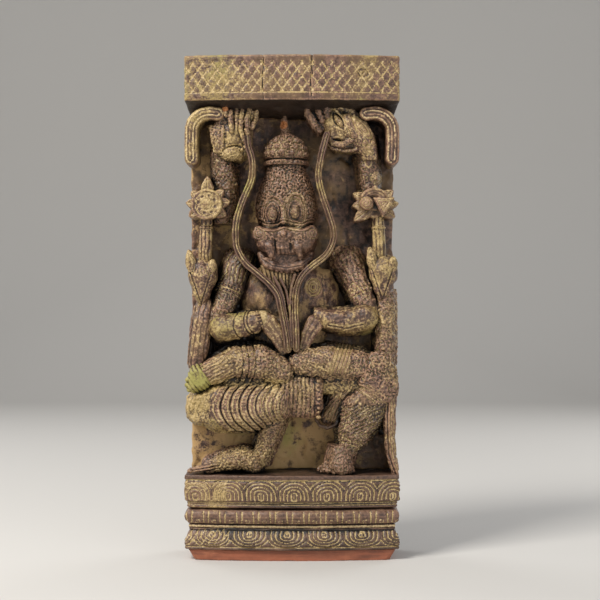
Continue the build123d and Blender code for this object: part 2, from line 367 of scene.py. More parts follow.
    def chipped(self, i, k):
        """Where paint and stain have broken away from the raw wood."""
        raw = np.zeros(len(i), np.float32)
        for x, z, radius in self.chips:
            raw = np.maximum(raw, unit(1.6 - np.hypot(self.x[i, 0, 0] - x, self.z[0, 0, k] - z) / radius))
        return raw

    def mesh(self, node, material, low=None, high=None):
        """One named piece from the clay between two heights, or from all of it."""
        d = self.d
        if low is not None:
            d = np.maximum(d, low - self.z)
        if high is not None:
            d = np.maximum(d, self.z - high)
        d = np.array(d, np.float32)
        for axis in range(3):  # closes the mesh where the wood runs out of the block of voxels
            edge = [slice(None)] * 3
            for end in (0, -1):
                edge[axis] = end
                d[tuple(edge)] = np.maximum(d[tuple(edge)], 0.5 * self.voxel)
        WOOD.keep(self, d)
        ridge = self.blurred(1.6) - self.d
        wide = self.blurred(4.0) - self.d
        grid = vdb.FloatGrid(3.0)
        grid.copyFromArray(np.clip(d, -3, 3))
        points, triangles, quads = grid.convertToPolygons(isovalue=0.0, adaptivity=0.0)
        i, j, k = np.clip(np.rint(points).astype(int), 0, np.array(d.shape) - 1).T
        place = np.clip(points * self.voxel + self.low, PANEL_LOW, PANEL_HIGH) * MM
        me = bpy.data.meshes.new(node)
        me.from_pydata(place.tolist(), [], [tuple(f[::-1]) for f in triangles.tolist() + quads.tolist()])
        me.shade_smooth()
        for name, values in (
            ("line", self.line[i, j, k]),
            ("ridge", np.clip(ridge[i, j, k] / 0.35, -1, 1)),
            ("hollow", unit(-wide[i, j, k] / 1.3)),
            ("chip", self.chipped(i, k)),
            ("coat_and_shade", np.broadcast_to(self.coat_and_shade, d.shape)[i, j, k]),
        ):
            write_attribute(me, name, values)
        piece = bpy.data.objects.new(node + "_carved", me)
        bpy.context.scene.collection.objects.link(piece)
        me.materials.append(material)
        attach(piece, BODY)
        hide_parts(node)
        CARVED.append(piece)


class Wood:
    """Coarse grid of the whole panel: where there is wood, whichever member it belongs to."""

    CELL = 2.0
    AIR = 40  # round the panel

    def __init__(self):
        self.low = PANEL_LOW - self.AIR
        count = np.ceil((PANEL_HIGH + self.AIR - self.low) / self.CELL).astype(int) + 1
        self.full = np.zeros(count, np.float32)

    def cells(self, place):
        index = np.rint((place - self.low) / self.CELL).astype(int)
        return tuple(np.clip(index[..., axis], 0, self.full.shape[axis] - 1) for axis in range(3))

    def keep(self, clay, d):
        inside = np.argwhere(d[::2, ::2, ::2] < 0) * 2
        self.full[self.cells(inside * clay.voxel + clay.low)] = 1.0

    def crowding(self, reach):
        """Share of wood within about `reach` of every cell."""
        cells = max(1, int(round(reach / self.CELL)))
        return box_blur(box_blur(self.full, cells), cells)


WOOD = Wood()
CARVED = []


def shade_crevices():
    """Writes how deep between the members each point lies, for the materials to darken there as painted shade."""
    near, far = WOOD.crowding(6.0), WOOD.crowding(20.0)  # a flat surface has about half wood round it
    for piece in CARVED:
        me = piece.data
        place = np.empty(len(me.vertices) * 3, np.float32)
        me.vertices.foreach_get("co", place)
        cells = WOOD.cells(place.reshape(-1, 3) / MM)
        # the more wood crowds round a point, the higher it scores; the materials paint shade by this score
        deep = unit((near[cells] - 0.56) * 3.0) * 0.8 + unit((far[cells] - 0.50) * 4.2) * 0.85
        write_attribute(me, "deep", unit(deep))


# ------------------------------------------------------------------ materials
class Nodes:
    """A new material, with short names for the nodes that it is made of."""

    def __init__(self, name):
        self.material = bpy.data.materials.new(name)
        self.material.use_nodes = True
        self.tree = self.material.node_tree
        self.tree.nodes.clear()
        self.coordinates = self.tree.nodes.new("ShaderNodeTexCoord").outputs["Object"]

    def link(self, source, socket):
        if isinstance(source, (int, float, tuple)):
            socket.default_value = source
        else:
            self.tree.links.new(source, socket)

    def attribute(self, name):
        node = self.tree.nodes.new("ShaderNodeAttribute")
        node.attribute_name = name
        return node.outputs["Fac"]

    def noise(self, scale, detail=4.0, rough=0.6, stretch=(1, 1, 1), shift=(0, 0, 0), distortion=0.0):
        mapping = self.tree.nodes.new("ShaderNodeMapping")
        mapping.inputs["Scale"].default_value = stretch
        mapping.inputs["Location"].default_value = shift
        self.link(self.coordinates, mapping.inputs["Vector"])
        node = self.tree.nodes.new("ShaderNodeTexNoise")
        node.inputs["Scale"].default_value = scale
        node.inputs["Detail"].default_value = detail
        node.inputs["Roughness"].default_value = rough
        node.inputs["Distortion"].default_value = distortion
        self.link(mapping.outputs["Vector"], node.inputs["Vector"])
        return node.outputs["Fac"]

    def math(self, operation, a, b=0.0, clamp=False):
        node = self.tree.nodes.new("ShaderNodeMath")
        node.operation = operation
        node.use_clamp = clamp
        self.link(a, node.inputs[0])
        self.link(b, node.inputs[1])
        return node.outputs[0]

    def ramp(self, value, low, high, to_low=0.0, to_high=1.0):
        """Smooth step from low to high."""
        node = self.tree.nodes.new("ShaderNodeMapRange")
        node.interpolation_type = "SMOOTHSTEP"
        self.link(value, node.inputs["Value"])
        for socket, number in zip(("From Min", "From Max", "To Min", "To Max"), (low, high, to_low, to_high)):
            node.inputs[socket].default_value = number
        return node.outputs["Result"]

    def mix(self, share, a, b, blend="MIX"):
        node = self.tree.nodes.new("ShaderNodeMix")
        node.data_type = "RGBA"
        node.blend_type = blend
        self.link(share, node.inputs["Factor"])
        self.link(a, node.inputs[6])
        self.link(b, node.inputs[7])
        return node.outputs[2]

    def weighted(self, *parts):
        """Sum of (value, weight) parts."""
        total = None
        for value, weight in parts:
            part = value if weight == 1 else self.math("MULTIPLY", value, weight)
            total = part if total is None else self.math("ADD", total, part)
        return total

    def surface(self, tint, rough, metal=0.0, bump=None):
        """Finishes the material; bump is the height, its strength and its distance."""
        shader = self.tree.nodes.new("ShaderNodeBsdfPrincipled")
        for name, value in (("Base Color", tint), ("Roughness", rough), ("Metallic", metal)):
            self.link(value, shader.inputs[name])
        if bump:
            node = self.tree.nodes.new("ShaderNodeBump")
            for name, value in zip(("Height", "Strength", "Distance"), bump):
                self.link(value, node.inputs[name])
            self.link(node.outputs["Normal"], shader.inputs["Normal"])
        self.link(shader.outputs["BSDF"], self.tree.nodes.new("ShaderNodeOutputMaterial").inputs["Surface"])
        return self.material


def colour(red, green, blue):
    """Linear colour from 0-255 display values."""
    shares = [c / 255 for c in (red, green, blue)]
    return tuple(((c + 0.055) / 1.055) ** 2.4 if c > 10 / 255 else c / 12.92 for c in shares) + (1.0,)


BLACK_BROWN = colour(22, 15, 10)
DARK_WOOD = colour(60, 41, 30)
PURPLE_WOOD = colour(104, 77, 64)
PINK_WEAR = colour(168, 130, 102)
BROWN_WASH = colour(120, 94, 62)
OLIVE = colour(132, 113, 58)
GOLD = colour(184, 157, 104)
PALE = colour(214, 190, 142)
LIME = colour(152, 150, 74)
RAW_RED = colour(158, 92, 64)
RAW_ORANGE = colour(196, 124, 68)


def painted_wood(
    name, paint=0.5, lime=0.3, wear=0.5, in_lines=0.9, dark=0.6, gilt=1.0, wash=0.5, under=OLIVE, shift=(0, 0, 0)
):
    """Stained wood under worn paint.

    paint: share still painted; gilt: how much of it is gold over the colour under it; lime: how green the paint
    is; in_lines: paint kept in cut lines; wear: rubbed wood; wash: brown wash; dark: grime and painted shade in
    hollows; shift: place in the noise.
    """
    n = Nodes(name)
    line, ridge, hollow, deep, coat_and_shade, chip = [
        n.attribute(each) for each in ("line", "ridge", "hollow", "deep", "coat_and_shade", "chip")
    ]
    broad = n.noise(24, 3, 0.55, shift=shift)
    patch = n.noise(105, 5, 0.66, shift=shift, distortion=0.8)
    speck = n.noise(430, 4, 0.72, shift=shift)
    grain = n.noise(260, 4, 0.6, stretch=(1, 1, 0.08), shift=shift)

    # bare wood, from nearly black in the cuts to pinkish brown where hands have rubbed it
    tone = n.weighted((patch, 1.1), (speck, 0.9), (ridge, 0.30), (grain, -0.35))
    wood = n.mix(n.ramp(tone, 0.60, 0.94), DARK_WOOD, PURPLE_WOOD)
    wood = n.mix(n.math("MULTIPLY", n.ramp(tone, 0.86, 1.20), wear), wood, PINK_WEAR)
    wood = n.mix(n.ramp(broad, 0.40, 0.64, 0.0, wash), wood, BROWN_WASH)

    # paint: the colour under, gold over it, pale where it is thick, green in places
    thick = n.weighted((speck, 1.1), (patch, 0.6), (ridge, 0.10))
    tint = n.mix(n.ramp(thick, 0.72, 1.00, 0.0, gilt), under, GOLD)
    tint = n.mix(n.ramp(thick, 0.98, 1.14, 0.0, gilt), tint, PALE)
    green = n.weighted((n.noise(15, 2, 0.5, shift=(3.1 + shift[0], 1.7, 0.4)), 1), (coat_and_shade, 0.18 * lime))
    tint = n.mix(n.ramp(green, 0.74 - 0.4 * lime, 0.94 - 0.36 * lime, 0.0, 0.8), tint, LIME)
    cover = n.weighted((broad, 0.7), (patch, 0.9), (coat_and_shade, 0.30), (speck, 0.6), (ridge, 0.13))
    edge = 1.38 - 0.55 * paint
    painted = n.ramp(cover, edge, edge + 0.30, 0.0, 0.92)
    body = n.mix(painted, wood, tint)

    # grime in the hollows, with painted shade in them and between the members where the wood crowds round
    grime_and_shade = n.weighted((hollow, 0.85), (deep, 1), (n.math("SUBTRACT", 0.5, speck), 0.6), (coat_and_shade, -0.55))
    grime_and_shade = n.ramp(grime_and_shade, 0.14, 0.95, 0.0, min(1.0, 1.5 * dark))
    body = n.mix(grime_and_shade, body, BLACK_BROWN)

    # paint left in the cut lines, darkened by painted shade where they lie deep between the members
    lines = n.mix(n.ramp(thick, 0.72, 1.04), GOLD, PALE)
    line_shade = n.weighted((deep, 1), (n.math("MAXIMUM", coat_and_shade, 0.0), -0.6))
    lines = n.mix(n.math("MULTIPLY", line_shade, 0.9, clamp=True), lines, BLACK_BROWN)
    kept = n.math("ADD", line, n.math("SUBTRACT", speck, 0.5))
    body = n.mix(n.ramp(kept, 0.42, 0.72, 0.0, in_lines), body, lines)
    body = n.mix(n.ramp(chip, 0.25, 0.8, 0.0, 0.85), body, RAW_ORANGE)

    rough = n.weighted((n.ramp(speck, 0.3, 0.7, 0.32, 0.54), 1), (painted, 0.18))
    height = n.weighted((speck, 0.8), (grain, 0.3), (painted, 0.3))
    return n.surface(body, rough, bump=(height, 0.8, 0.0008))


def bare_wood(name):
    """Sawn foot of the block: reddish brown, with the grain running across."""
    n = Nodes(name)
    grain = n.noise(160, 5, 0.6, stretch=(0.06, 1, 1))
    body = n.mix(n.ramp(grain, 0.40, 0.8), RAW_RED, colour(100, 60, 44))
    body = n.mix(n.ramp(n.noise(40, 4, 0.6), 0.5, 0.75, 0.0, 0.6), body, colour(176, 112, 80))
    return n.surface(body, 0.62, bump=(grain, 0.5, 0.0006))


def steel_wire():
    n = Nodes("steel_wire")
    rust = n.noise(700, 4, 0.6)
    tint = n.mix(n.ramp(rust, 0.5, 0.7), colour(150, 146, 138), colour(96, 78, 62))
    return n.surface(tint, n.ramp(rust, 0.3, 0.7, 0.3, 0.6), metal=1.0)


FIGURE = painted_wood("figure_paint", paint=0.42, lime=0.25, wear=0.9, dark=0.75)
BRIGHT = painted_wood("bright_paint", paint=0.66, lime=0.6, wear=0.8, dark=0.75, shift=(0.3, 0.1, 0.7))
FACE = painted_wood(
    "face_wear", paint=0.06, lime=0.0, wear=0.75, in_lines=0.5, dark=0.8, wash=0.2, shift=(1.3, 0.4, 0.2)
)
LINED = painted_wood(
    "lined_paint", paint=0.16, lime=0.2, wear=0.35, in_lines=0.95, dark=0.8, wash=0.15, shift=(2.3, 0.9, 0.6)
)
LINED_CAPITAL = painted_wood("capital_paint", paint=0.39, lime=0.55, wear=0.7, gilt=0.5, shift=(7.1, 3.0, 0.2))
# the colour under the ground's paint is its olive paint, made lighter as painted light where the members shade the
# lower ground
GROUND = painted_wood(
    "ground_paint", paint=0.30, lime=0.35, dark=0.7, gilt=0.1, wash=1.0, under=colour(192, 156, 104),
    shift=(5.0, 2.0, 1.0)
)
STRAND = painted_wood(
    "strand_paint", paint=0.40, lime=0.7, wear=0.1, in_lines=1.0, dark=0.95, gilt=0.8, wash=0.9,
    shift=(2.9, 1.1, 4.0)
)
SKIN = painted_wood(
    "skin_wash", paint=0.20, lime=0.0, wear=0.8, gilt=0.35, wash=1.0, under=colour(158, 126, 86),
    shift=(8.2, 3.3, 1.7)
)
SHADE = painted_wood("shaded_wood", paint=0.18, lime=0.1, wear=0.6, dark=0.95, wash=0.6, shift=(3.2, 5.3, 0.7))
GREEN = painted_wood("green_paint", paint=0.90, lime=1.1, wear=0.6, shift=(0.9, 2.2, 1.4))
# nearly black all over: painted shade, for the tassel that hangs in a dark hole
DARK = painted_wood("fold_in_painted_shade", paint=0.05, lime=0.0, in_lines=0.5, dark=0.9, shift=(4.4, 1.2, 0.8))
SAWN = bare_wood("sawn_wood")
WIRE = steel_wire()


# ------------------------------------------------------------------ block, capital and base
def moulding(node, levels):
    """A course of the block: levels are (z, inset of its face), from the bottom up."""
    c = Clay(node, voxel=MOULDING_VOXEL, sink=0.0, bowed=False)
    inset = np.interp(c.z, *np.array(levels).T).astype(np.float32)
    face = inset + (bow_at(c.x) + (PANEL_FRONT - c.middle[1])) - c.y
    c.d = blend_max(face, np.abs(c.x) - (HALF_WIDTH - 0.4 - inset), 3.0)
    c.d = blend_max(c.d, np.abs(c.z) - c.half[2] + 0 * c.d, 0.8).astype(np.float32)
    c.near = unit(1.5 - np.abs(face) / 4)
    return c


def capital():
    """Top of the block: a lattice cut in its face, over an undercut."""
    c = Clay("capital", voxel=CAPITAL_VOXEL, sink=0.0)
    bow = bow_at(c.x)
    face = bow - c.y + 0.3
    edge_z = -20.5 + 1.2 * c.lumps(26, 1.0, 4) + c.lumps(9, 0.7, 5)
    under = (edge_z - 15.0 * unit((c.y - bow) / 34) - c.z) * 0.92
    ends = np.abs(c.x) - (HALF_WIDTH - 0.4 - 0.35 * np.clip(-19 - c.z, 0, 14))
    c.d = blend_max(face, ends, 3.0)
    c.d = blend_max(c.d, c.z - c.half[2] + 0.3, 2.5)
    c.d = blend_max(c.d, under, 1.5).astype(np.float32)
    near = unit(1.5 - np.abs(face) / 4)
    # incised lattice, ruled off below
    across, up = 12.0, 16.2
    field = unit((c.z + 10.6) / 1.0) * unit((27.5 - c.z) / 2.0)
    waver = 0.05 * c.lumps(18, 1.0, 2).mean(axis=1, keepdims=True)
    for direction in (1, -1):
        phase = c.x / across + direction * (c.z - 8) / up + waver
        gap = np.abs(phase - np.round(phase)) * across * up / math.hypot(across, up)
        c.incise(gap, 1.0, 0.85, where=near * field)
    c.incise(c.z + 11.6 + 0.5 * waver, 0.8, 0.7, 0.9, where=near)
    c.incise(c.z + 18.6, 0.5, 0.6, 0.7, where=near)
    # drying cracks and a knot
    for x, low in ((-35, -20), (23, -16), (24.5, 8)):
        path = smooth_path([(x, 34), (x + 0.8, 20), (x - 0.6, 6), (x + 0.5, low)])
        c.incise(c.beside(path)[0], 2.0, 0.45, 0.0, where=near)
    knot = np.hypot((c.x - 86) / 1.3, c.z - 12)
    c.incise(knot - 4.5, 1.4, 1.0, 0.2, where=near)
    c.incise(knot, 1.2, 1.8, 0.2, where=near)
    c.coat_and_shade = unit((-50 - c.x) / 30) * 0.75 + 0.25 * unit((c.x - 60) / 30) - 0.1
    # the undercut below the lattice is darkened all over: painted shadow under the capital
    c.coat_and_shade = np.where(c.z < -20.5, -1.8, c.coat_and_shade)
    c.finish(LINED_CAPITAL, "moulding_wood", (7, 0.35), 0.10)


def arches(c, pitch, start, low, high, hang, rings):
    """Row of lotus petals, each drawn as nested arches; hang turns them over."""
    wander_x = (1.6 * c.lumps(15, 1.3, 61) + c.lumps(6, 1.0, 64)).mean(axis=1, keepdims=True)
    wander_z = (1.4 * c.lumps(15, 1.3, 62) + c.lumps(6, 1.0, 65)).mean(axis=1, keepdims=True)
    for step in range(-4, 5):
        centre = start + pitch * step + wander_x
        up = ((high - c.z) if hang else (c.z - low)) + wander_z
        rise = high - low
        off = np.abs(c.x - centre - 0.10 * (centre / HALF_WIDTH) * up)
        above_waist = up / rise - 0.32
        tall = np.where(above_waist > 0, above_waist / 0.68, -above_waist / 1.5)
        q = ((off / (pitch * 0.48)) ** 2.2 + tall**2.2) ** (1 / 2.2)
        own = unit((pitch / 2 + 0.6 - off) / 0.8)
        cell = np.clip(1.26 - q, 0, 0.12) / 0.12 * unit(up / 1.5) * own
        c.emboss(1.6 * unit(1 - q * q) * cell * c.near, 1.0)
        for ring in rings:
            c.incise((q - ring) * pitch * 0.45, 1.3, 0.9, where=cell * c.near)
        c.incise(off, 0.7, 0.6, 0.9, where=cell * c.near * (q < rings[-1]))


def upper_lotus():
    """Course of upright petals under the feet."""
    c = moulding("upper_lotus", [
        (-20.5, 9), (-18.2, 3.2), (-16.4, 3.0), (-15, 4.2), (-13.6, 2.6), (-12.4, 3.8), (-10.5, 1.0),
        (11.5, 0.4), (13.5, 1.6), (16, 0.5), (20.5, 1.0),
    ])
    arches(c, 39.4, 2.4, -11.0, 13.0, False, (1.13, 0.90, 0.66, 0.42, 0.18))
    c.incise(c.z - 14.6, 0.4, 0.9, 0.9, where=c.near)
    c.coat_and_shade = unit((-62 - c.x) / 20) * 1.5 * (c.z < 13) - 0.85
    for z in (-15.2, -12.3):
        c.incise(c.z - z, 0.1, 0.9, 0.8, where=c.near)
    c.finish(LINED, "moulding_wood", (8, 0.4), 0.10)


def middle_band():
    """Waist of the base, with pairs of upright lines and small bosses."""
    c = moulding("middle_band", [
        (-11.5, 5.5), (-8.2, 5.0), (-7.0, 7.5), (-5.8, 4.0), (-2, 1.4), (2.5, 0.3), (7, 1.4), (9.6, 4), (11.5, 7.5),
    ])
    band = unit((c.z + 6.5) / 1.5) * unit((10 - c.z) / 1.5)
    wander = 1.3 * c.lumps(9, 1.0, 63).mean(axis=1, keepdims=True)
    for step in range(-7, 8):
        centre = 20.2 * step - 3
        for side in (-3.1, 3.1):
            slant = 0.06 * (c.z - 2) * np.sign(side)
            c.incise(np.abs(c.x - centre - side - slant - wander), 1.1, 1.0, where=band * c.near)
        boss = np.hypot(c.x - centre - 10.1, (c.z + 3.2) * 1.1)
        c.emboss(bell(boss, 2.6) * c.near, 0.8)
        c.incise(boss - 2.6, 0.3, 0.7, 0.8, where=c.near * (c.z < -1))
    c.incise(c.z + 9.6, 0.1, 1.6, 0.9, where=c.near)
    c.finish(LINED, "moulding_wood", (8, 0.4), 0.10)


def lower_lotus():
    """Course of hanging petals."""
    c = moulding("lower_lotus", [
        (-13, 1.6), (-11.6, 0.8), (-10.2, 0.6), (-9.3, 1.8), (-8.4, 0.7), (-6, 0.3), (-1, 1.2), (5, 4.0),
        (10.5, 7.2), (11.2, 5.6), (13, 5.8),
    ])
    arches(c, 45.0, -6.0, -8.0, 10.5, True, (1.12, 0.88, 0.63, 0.38, 0.15))
    stripes = unit((c.x + 72) / -6) * unit((c.z + 8) / 2)
    c.grooves((c.x - 0.7 * c.z) / 7.5, 6.5, 0.8, 0.7, where=stripes * c.near)
    c.incise(c.z + 9.4, 0.3, 0.7, where=c.near)
    c.coat_and_shade = -0.95 + 0.5 * c.lumps(20, 1.0, 66)
    c.finish(LINED, "moulding_wood", (8, 0.4), 0.10)


def plinth():
    """The sawn foot, a frustum that leans in towards the bottom, with its front corners cut off."""
    c = Clay("plinth", sink=0.0, bowed=False)
    inset = np.interp(c.z, [-c.half[2], c.half[2]], [9.0, 1.0]).astype(np.float32)
    bow = bow_at(c.x)
    ends = np.abs(c.x) - (c.half[0] - inset)
    corner = (np.abs(c.x) - (c.half[0] - inset - 6)) * 0.7 + (14 + bow * 0 - c.y) * 0.7 - 5.5
    c.d = blend_max(0.6 + bow * 0.8 - c.y, ends, 1.2)
    c.d = blend_max(c.d, corner, 1.2)
    c.d = blend_max(c.d, np.abs(c.z) - c.half[2] + 0 * c.d, 0.6).astype(np.float32)
    c.roughen(14, 0.5)
    c.roughen(4, 0.2, 4)
    c.finish(SAWN, "bare_wood", grain=0.08)


def back_board():
    """The ground of the relief, left from the gouge in front, with the pocket for the ring in its back."""
    c = Clay("back_board", voxel=BOARD_VOXEL, sink=0.0, bowed=False)
    c.d = np.maximum(np.abs(c.x) - c.half[0] + 0 * c.y, 0.8 - c.y)
    c.d = blend_max(c.d, np.abs(c.z) - c.half[2] + 0 * c.d, 0.5).astype(np.float32)
    low, high = in_mm(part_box("ring_staple"))
    middle = (low[2] + high[2]) / 2 - POCKET_DROP - c.middle[2]
    run = np.clip(c.z - middle, -POCKET_STRAIGHT, POCKET_STRAIGHT)
    pocket = np.hypot(c.x, c.z - middle - run) - POCKET_RADIUS
    c.take(np.maximum(pocket, c.depth - POCKET_DEPTH - c.y), 0.8)
    front = unit((14 - c.y) / 6)
    for size, depth, seed in ((26, 1.1, 1), (9, 1.1, 2), (4.5, 0.6, 3)):
        c.d = (c.d + c.lumps(size, depth, seed) * front + 0.3).astype(np.float32)
    # gouge channels left at random
    values = np.random.default_rng(11)
    for _ in range(GOUGES):
        x, z = values.uniform(-118, 118), values.uniform(-210, 205)
        a = math.radians(values.normal(0, 40))
        length, width = values.uniform(6, 16), values.uniform(1.6, 3.2)
        dx, dz = c.x - x, c.z - z
        along, across = dx * math.sin(a) + dz * math.cos(a), dx * math.cos(a) - dz * math.sin(a)
        c.lower(1.3 * bell(across, width) * bell(along, length) * unit((10 - c.y) / 4))
    # more paint and less grime over the lower ground, part real olive paint and part painted light; a little darker
    # up under the capital, and darker to the right in the upper half: painted shade for light from the upper left
    c.coat_and_shade = unit((-50 - c.z) / 40) * 1.4 - 0.1 * unit((c.z - 60) / 60)
    c.coat_and_shade = c.coat_and_shade * unit(1.3 - np.maximum(c.x - 40, 0) / 50) * (c.y < 16)
    c.coat_and_shade = c.coat_and_shade - 0.5 * np.clip(c.x / 60, -1, 1) * unit(c.z / 40)
    c.coat_and_shade = c.coat_and_shade + c.lumps(16, 0.7, 51) + c.lumps(6, 0.8, 52)
    c.finish(GROUND, "board_wood", grain=0.12)


# ------------------------------------------------------------------ scrolls and strands
def fluted(c, path, width, front, flutes, round_off, depth=0.9, back=None):
    """Band of the given width along a path, with grooves at each share of its half width."""
    dist, side, _ = c.beside(path)
    c.add(c.prism(dist - width / 2, front, round_off, back), 0.6)
    reach = unit((front + 7 - c.y) / 3)
    for at, share in enumerate(flutes):
        c.incise(side - share * width / 2, depth, width * 0.09, 0.05, where=reach)
        c.incise(side - (share + 0.24) * width / 2, 0.2, width * 0.06, 0.9 - 0.5 * (at % 2), where=reach)


def scroll(node, side):
    """Fluted band round an upper corner of the recess; side is -1 at the left."""
    c = Clay(node)
    radius = 22.5
    arc = [(radius * math.sin(a) - 0.5, 5.7 + radius * math.cos(a)) for a in np.linspace(0, math.pi / 2, 9)]
    path = [(side * x, z) for x, z in [(-10, 27.2), *arc, (22.2, -12), (21.6, -27)]]
    fluted(c, path, 16.5, 1.5, (-0.55, -0.08, 0.42), 5.5, 1.3)
    c.roughen(6, 0.5, 2)
    c.finish(BRIGHT if side < 0 else FIGURE)


def strand(node, path, flutes, finer):
    """Fluted stem held by a raised hand, with finer stems beside its lower part."""
    c = Clay(node, voxel=FINE, margin=8.0)
    fluted(c, smooth_path(path), 8.2, 0.8, flutes, 2.6, 2.0, back=26)
    for inner, width, front, flute, round_off in finer:
        fluted(c, smooth_path(inner), width, front, (flute,), round_off, 1.0, back=26)
    c.roughen(8, 0.5, 2)
    c.roughen(4.5, 0.35, 6)
    c.coat_and_shade = c.lumps(30, 0.9, 8) + c.lumps(7, 0.6, 9) - 0.3
    c.finish(STRAND)


def strands():
    strand("left_strand", [
        (-17, 134), (-16, 123), (-11, 104), (-12, 82), (-21.5, 59), (-29, 36), (-31, 17), (-29, -2), (-19, -19),
        (-4, -32), (10.5, -45), (20, -58), (24, -75), (30, -106), (32, -124),
    ], (-0.46, 0.34), [
        ([(16, -36), (25, -55), (29, -75), (34.5, -106), (36, -123)], 4.2, 4.0, -0.9, 1.8),
        ([(24, -38), (31, -55), (34, -75), (38, -106), (39.5, -123)], 3.6, 6.0, -0.9, 1.6),
    ])
    strand("right_strand", [
        (13, 134), (10.3, 125), (5.5, 105), (3, 83), (8, 60), (15, 39), (21, 18), (20, 3.5), (11.5, -12),
        (-5, -25), (-17, -37), (-23, -50.5), (-25.5, -70), (-24.5, -98), (-24, -125),
    ], (-0.34, 0.46), [
        ([(-26, -36), (-30, -52), (-31.5, -75), (-30.5, -100), (-29.5, -123)], 4.2, 4.0, 0.9, 1.8),
    ])


# ------------------------------------------------------------------ limbs
def limb_member(node, points, radii, stalk=0.72, margin=4.0, voxel=None, skirt=True):
    """A limb with the wood that ties it to the board, ready for surface work. Returns clay, run and side."""
    c = Clay(node, margin=margin, voxel=voxel)
    d, s, side = c.limb(points, radii)
    c.add(d, 1.0)
    middle = sum(p[1] for p in points) / len(points)
    front_view = [(x, z) for x, _, z in points]
    c.stalk(front_view, [r * stalk for r in radii], middle)
    if skirt:
        c.stalk(front_view, [r * 1.12 + 3 for r in radii], middle + 0.35 * max(radii), 12.0, 7.0)
    c.trim()
    return c, s, side


def flutes(c, side, pitch, depth=0.9, paint=0.8, where=1.0):
    """Wavering grooves that run along a limb."""
    c.grooves(side / pitch + c.lumps(10, 0.24, 31), pitch, depth, pitch * 0.17, paint, where)


def bands(c, s, places, height=1.2, width=1.6, beads=0.0, side=None):
    """Rings round a limb at each run, plain or beaded."""
    for place in places:
        ring = bell(s - place, width)
        if beads:
            ring = ring * (0.45 + 0.55 * np.cos(2 * math.pi * side / beads))
        c.emboss(ring, height)
        for rim in (-1.5, 1.5):
            c.incise(s - place - rim * width, 0.5, 0.5, 0.9)


def left_raised_arm():
    """Arm in shadow, cut all over with curls."""
    c, *_ = limb_member("left_raised_arm", [(-3, 13, 40), (2, 13, 0), (0, 15, -40)], [13, 15, 15])
    c.curls(5.0, 1.8)
    # darker all over: painted shade of the arm under the hand
    c.coat_and_shade = -0.6
    c.finish(SHADE, rough=(5, 1.2))


def right_raised_arm():
    """Arm with a ringed knot and an oval panel."""
    c, *_ = limb_member("right_raised_arm", [(-3, 12, 34), (1, 12, 4), (4, 14, -34)], [13.5, 13, 11.5])
    knot = c.off_axis(11, -16.5)
    c.emboss(bell(knot, 4.5), 1.8)
    for radius in (2.4, 4.6, 6.8):
        c.incise(knot - radius, 0.8, 0.6)
    panel = np.hypot((c.x - 0.8) / 4.2, (c.z - 4.4) / 7.4)
    c.incise((panel - 1) * 4.2, 1.0, 0.8)
    c.curls(5.0, 1.1, mask=unit((panel - 1.1) / 0.3))
    # darker all over but round the knot: painted shade of the arm under the hand
    c.coat_and_shade = -0.8 + 0.7 * (knot < 8)
    c.finish(FIGURE, rough=(6, 0.8))


def left_raised_hand():
    """Raised hand that grips the strand: upright fingers over a flat palm and an open cuff."""
    c = Clay("left_raised_hand", voxel=FINE, margin=10.0)
    fist = c.outline([
        (-29, 4), (-24, 20), (-14, 36), (28, 36), (29, 22), (22, 8), (21, -24), (8, -34), (-12, -34), (-25, -24),
    ])
    c.add(c.prism(fist + 1.0, 9.0, 8.0), 1)
    c.tubes([([(-29 + 5 * i, 15 - 1.6 * i, 8), (-27 + 4 * i, 13 - 1.4 * i, -6), (-24 + 3 * i, 13 - i, -22)],
              [2.6, 2.9, 2.6]) for i in range(4)])
    palm = c.outline([(-12, 8), (5, 8), (9, -15), (-10.5, -16)])
    c.add(c.prism(palm, 6.4, 6.0, back=26), 2.4)
    c.tubes([
        ([(-12, 11, 34), (-11, 8, 30), (-10.5, 8, 22)], [3.6, 4.2, 3.4]),
        ([(-4.6, 7, 26), (-4.2, 4.6, 14), (-3.4, 6, 2)], [3.0, 3.6, 3.2]),
        ([(3.4, 10, 35), (2.6, 8, 20), (2.0, 8, 4)], [2.8, 3.2, 2.8]),
        ([(10.4, 10, 35), (8.4, 6.4, 20), (7.4, 6, 4), (12, 6.4, -11)], [2.8, 3.4, 3.0, 2.6]),
        ([(19.6, 10, 35), (15.2, 5.4, 18), (16.4, 5, 8)], [2.8, 3.6, 3.6]),
        ([(27.6, 13, 34), (25.6, 10, 17), (21, 8, 7)], [2.8, 3.2, 3.0]),
        ([(14.5, 7, 4), (17.4, 6.6, -8), (18, 8, -24)], [3.2, 3.2, 3.6]),
    ])
    c.add(c.ball((-3.5, 13, -24), (14.5, 9.5, 9.5)), 2.0)
    cuff = np.hypot((c.x + 3.5) / 1.5, c.z + 24)
    for radius in (3.0, 5.4, 7.6):
        c.incise(cuff - radius, 0.9, 0.7, 0.7, where=c.y < 12)
    c.incise(np.abs(c.z + 15.5 + 0.03 * c.x**2), 1.6, 0.9, 0.1, where=(np.abs(c.x + 2) < 13) & (c.y < 14))
    for x, z in ((12.8, -17.5), (15.4, -13.0), (9.4, -20.6)):
        c.add(c.ball((x, 5, z), (2.7, 3, 2.5)), 0.6)
    c.curls(4.2, 1.0, mask=np.clip((palm + 1) / 2, 0.3, 1))
    c.coat_and_shade = 0.25 + 0.4 * (palm < 2)
    c.chips = [(-11.5, 29.5, 3.6)]
    c.finish(FIGURE, rough=(5, 0.6))


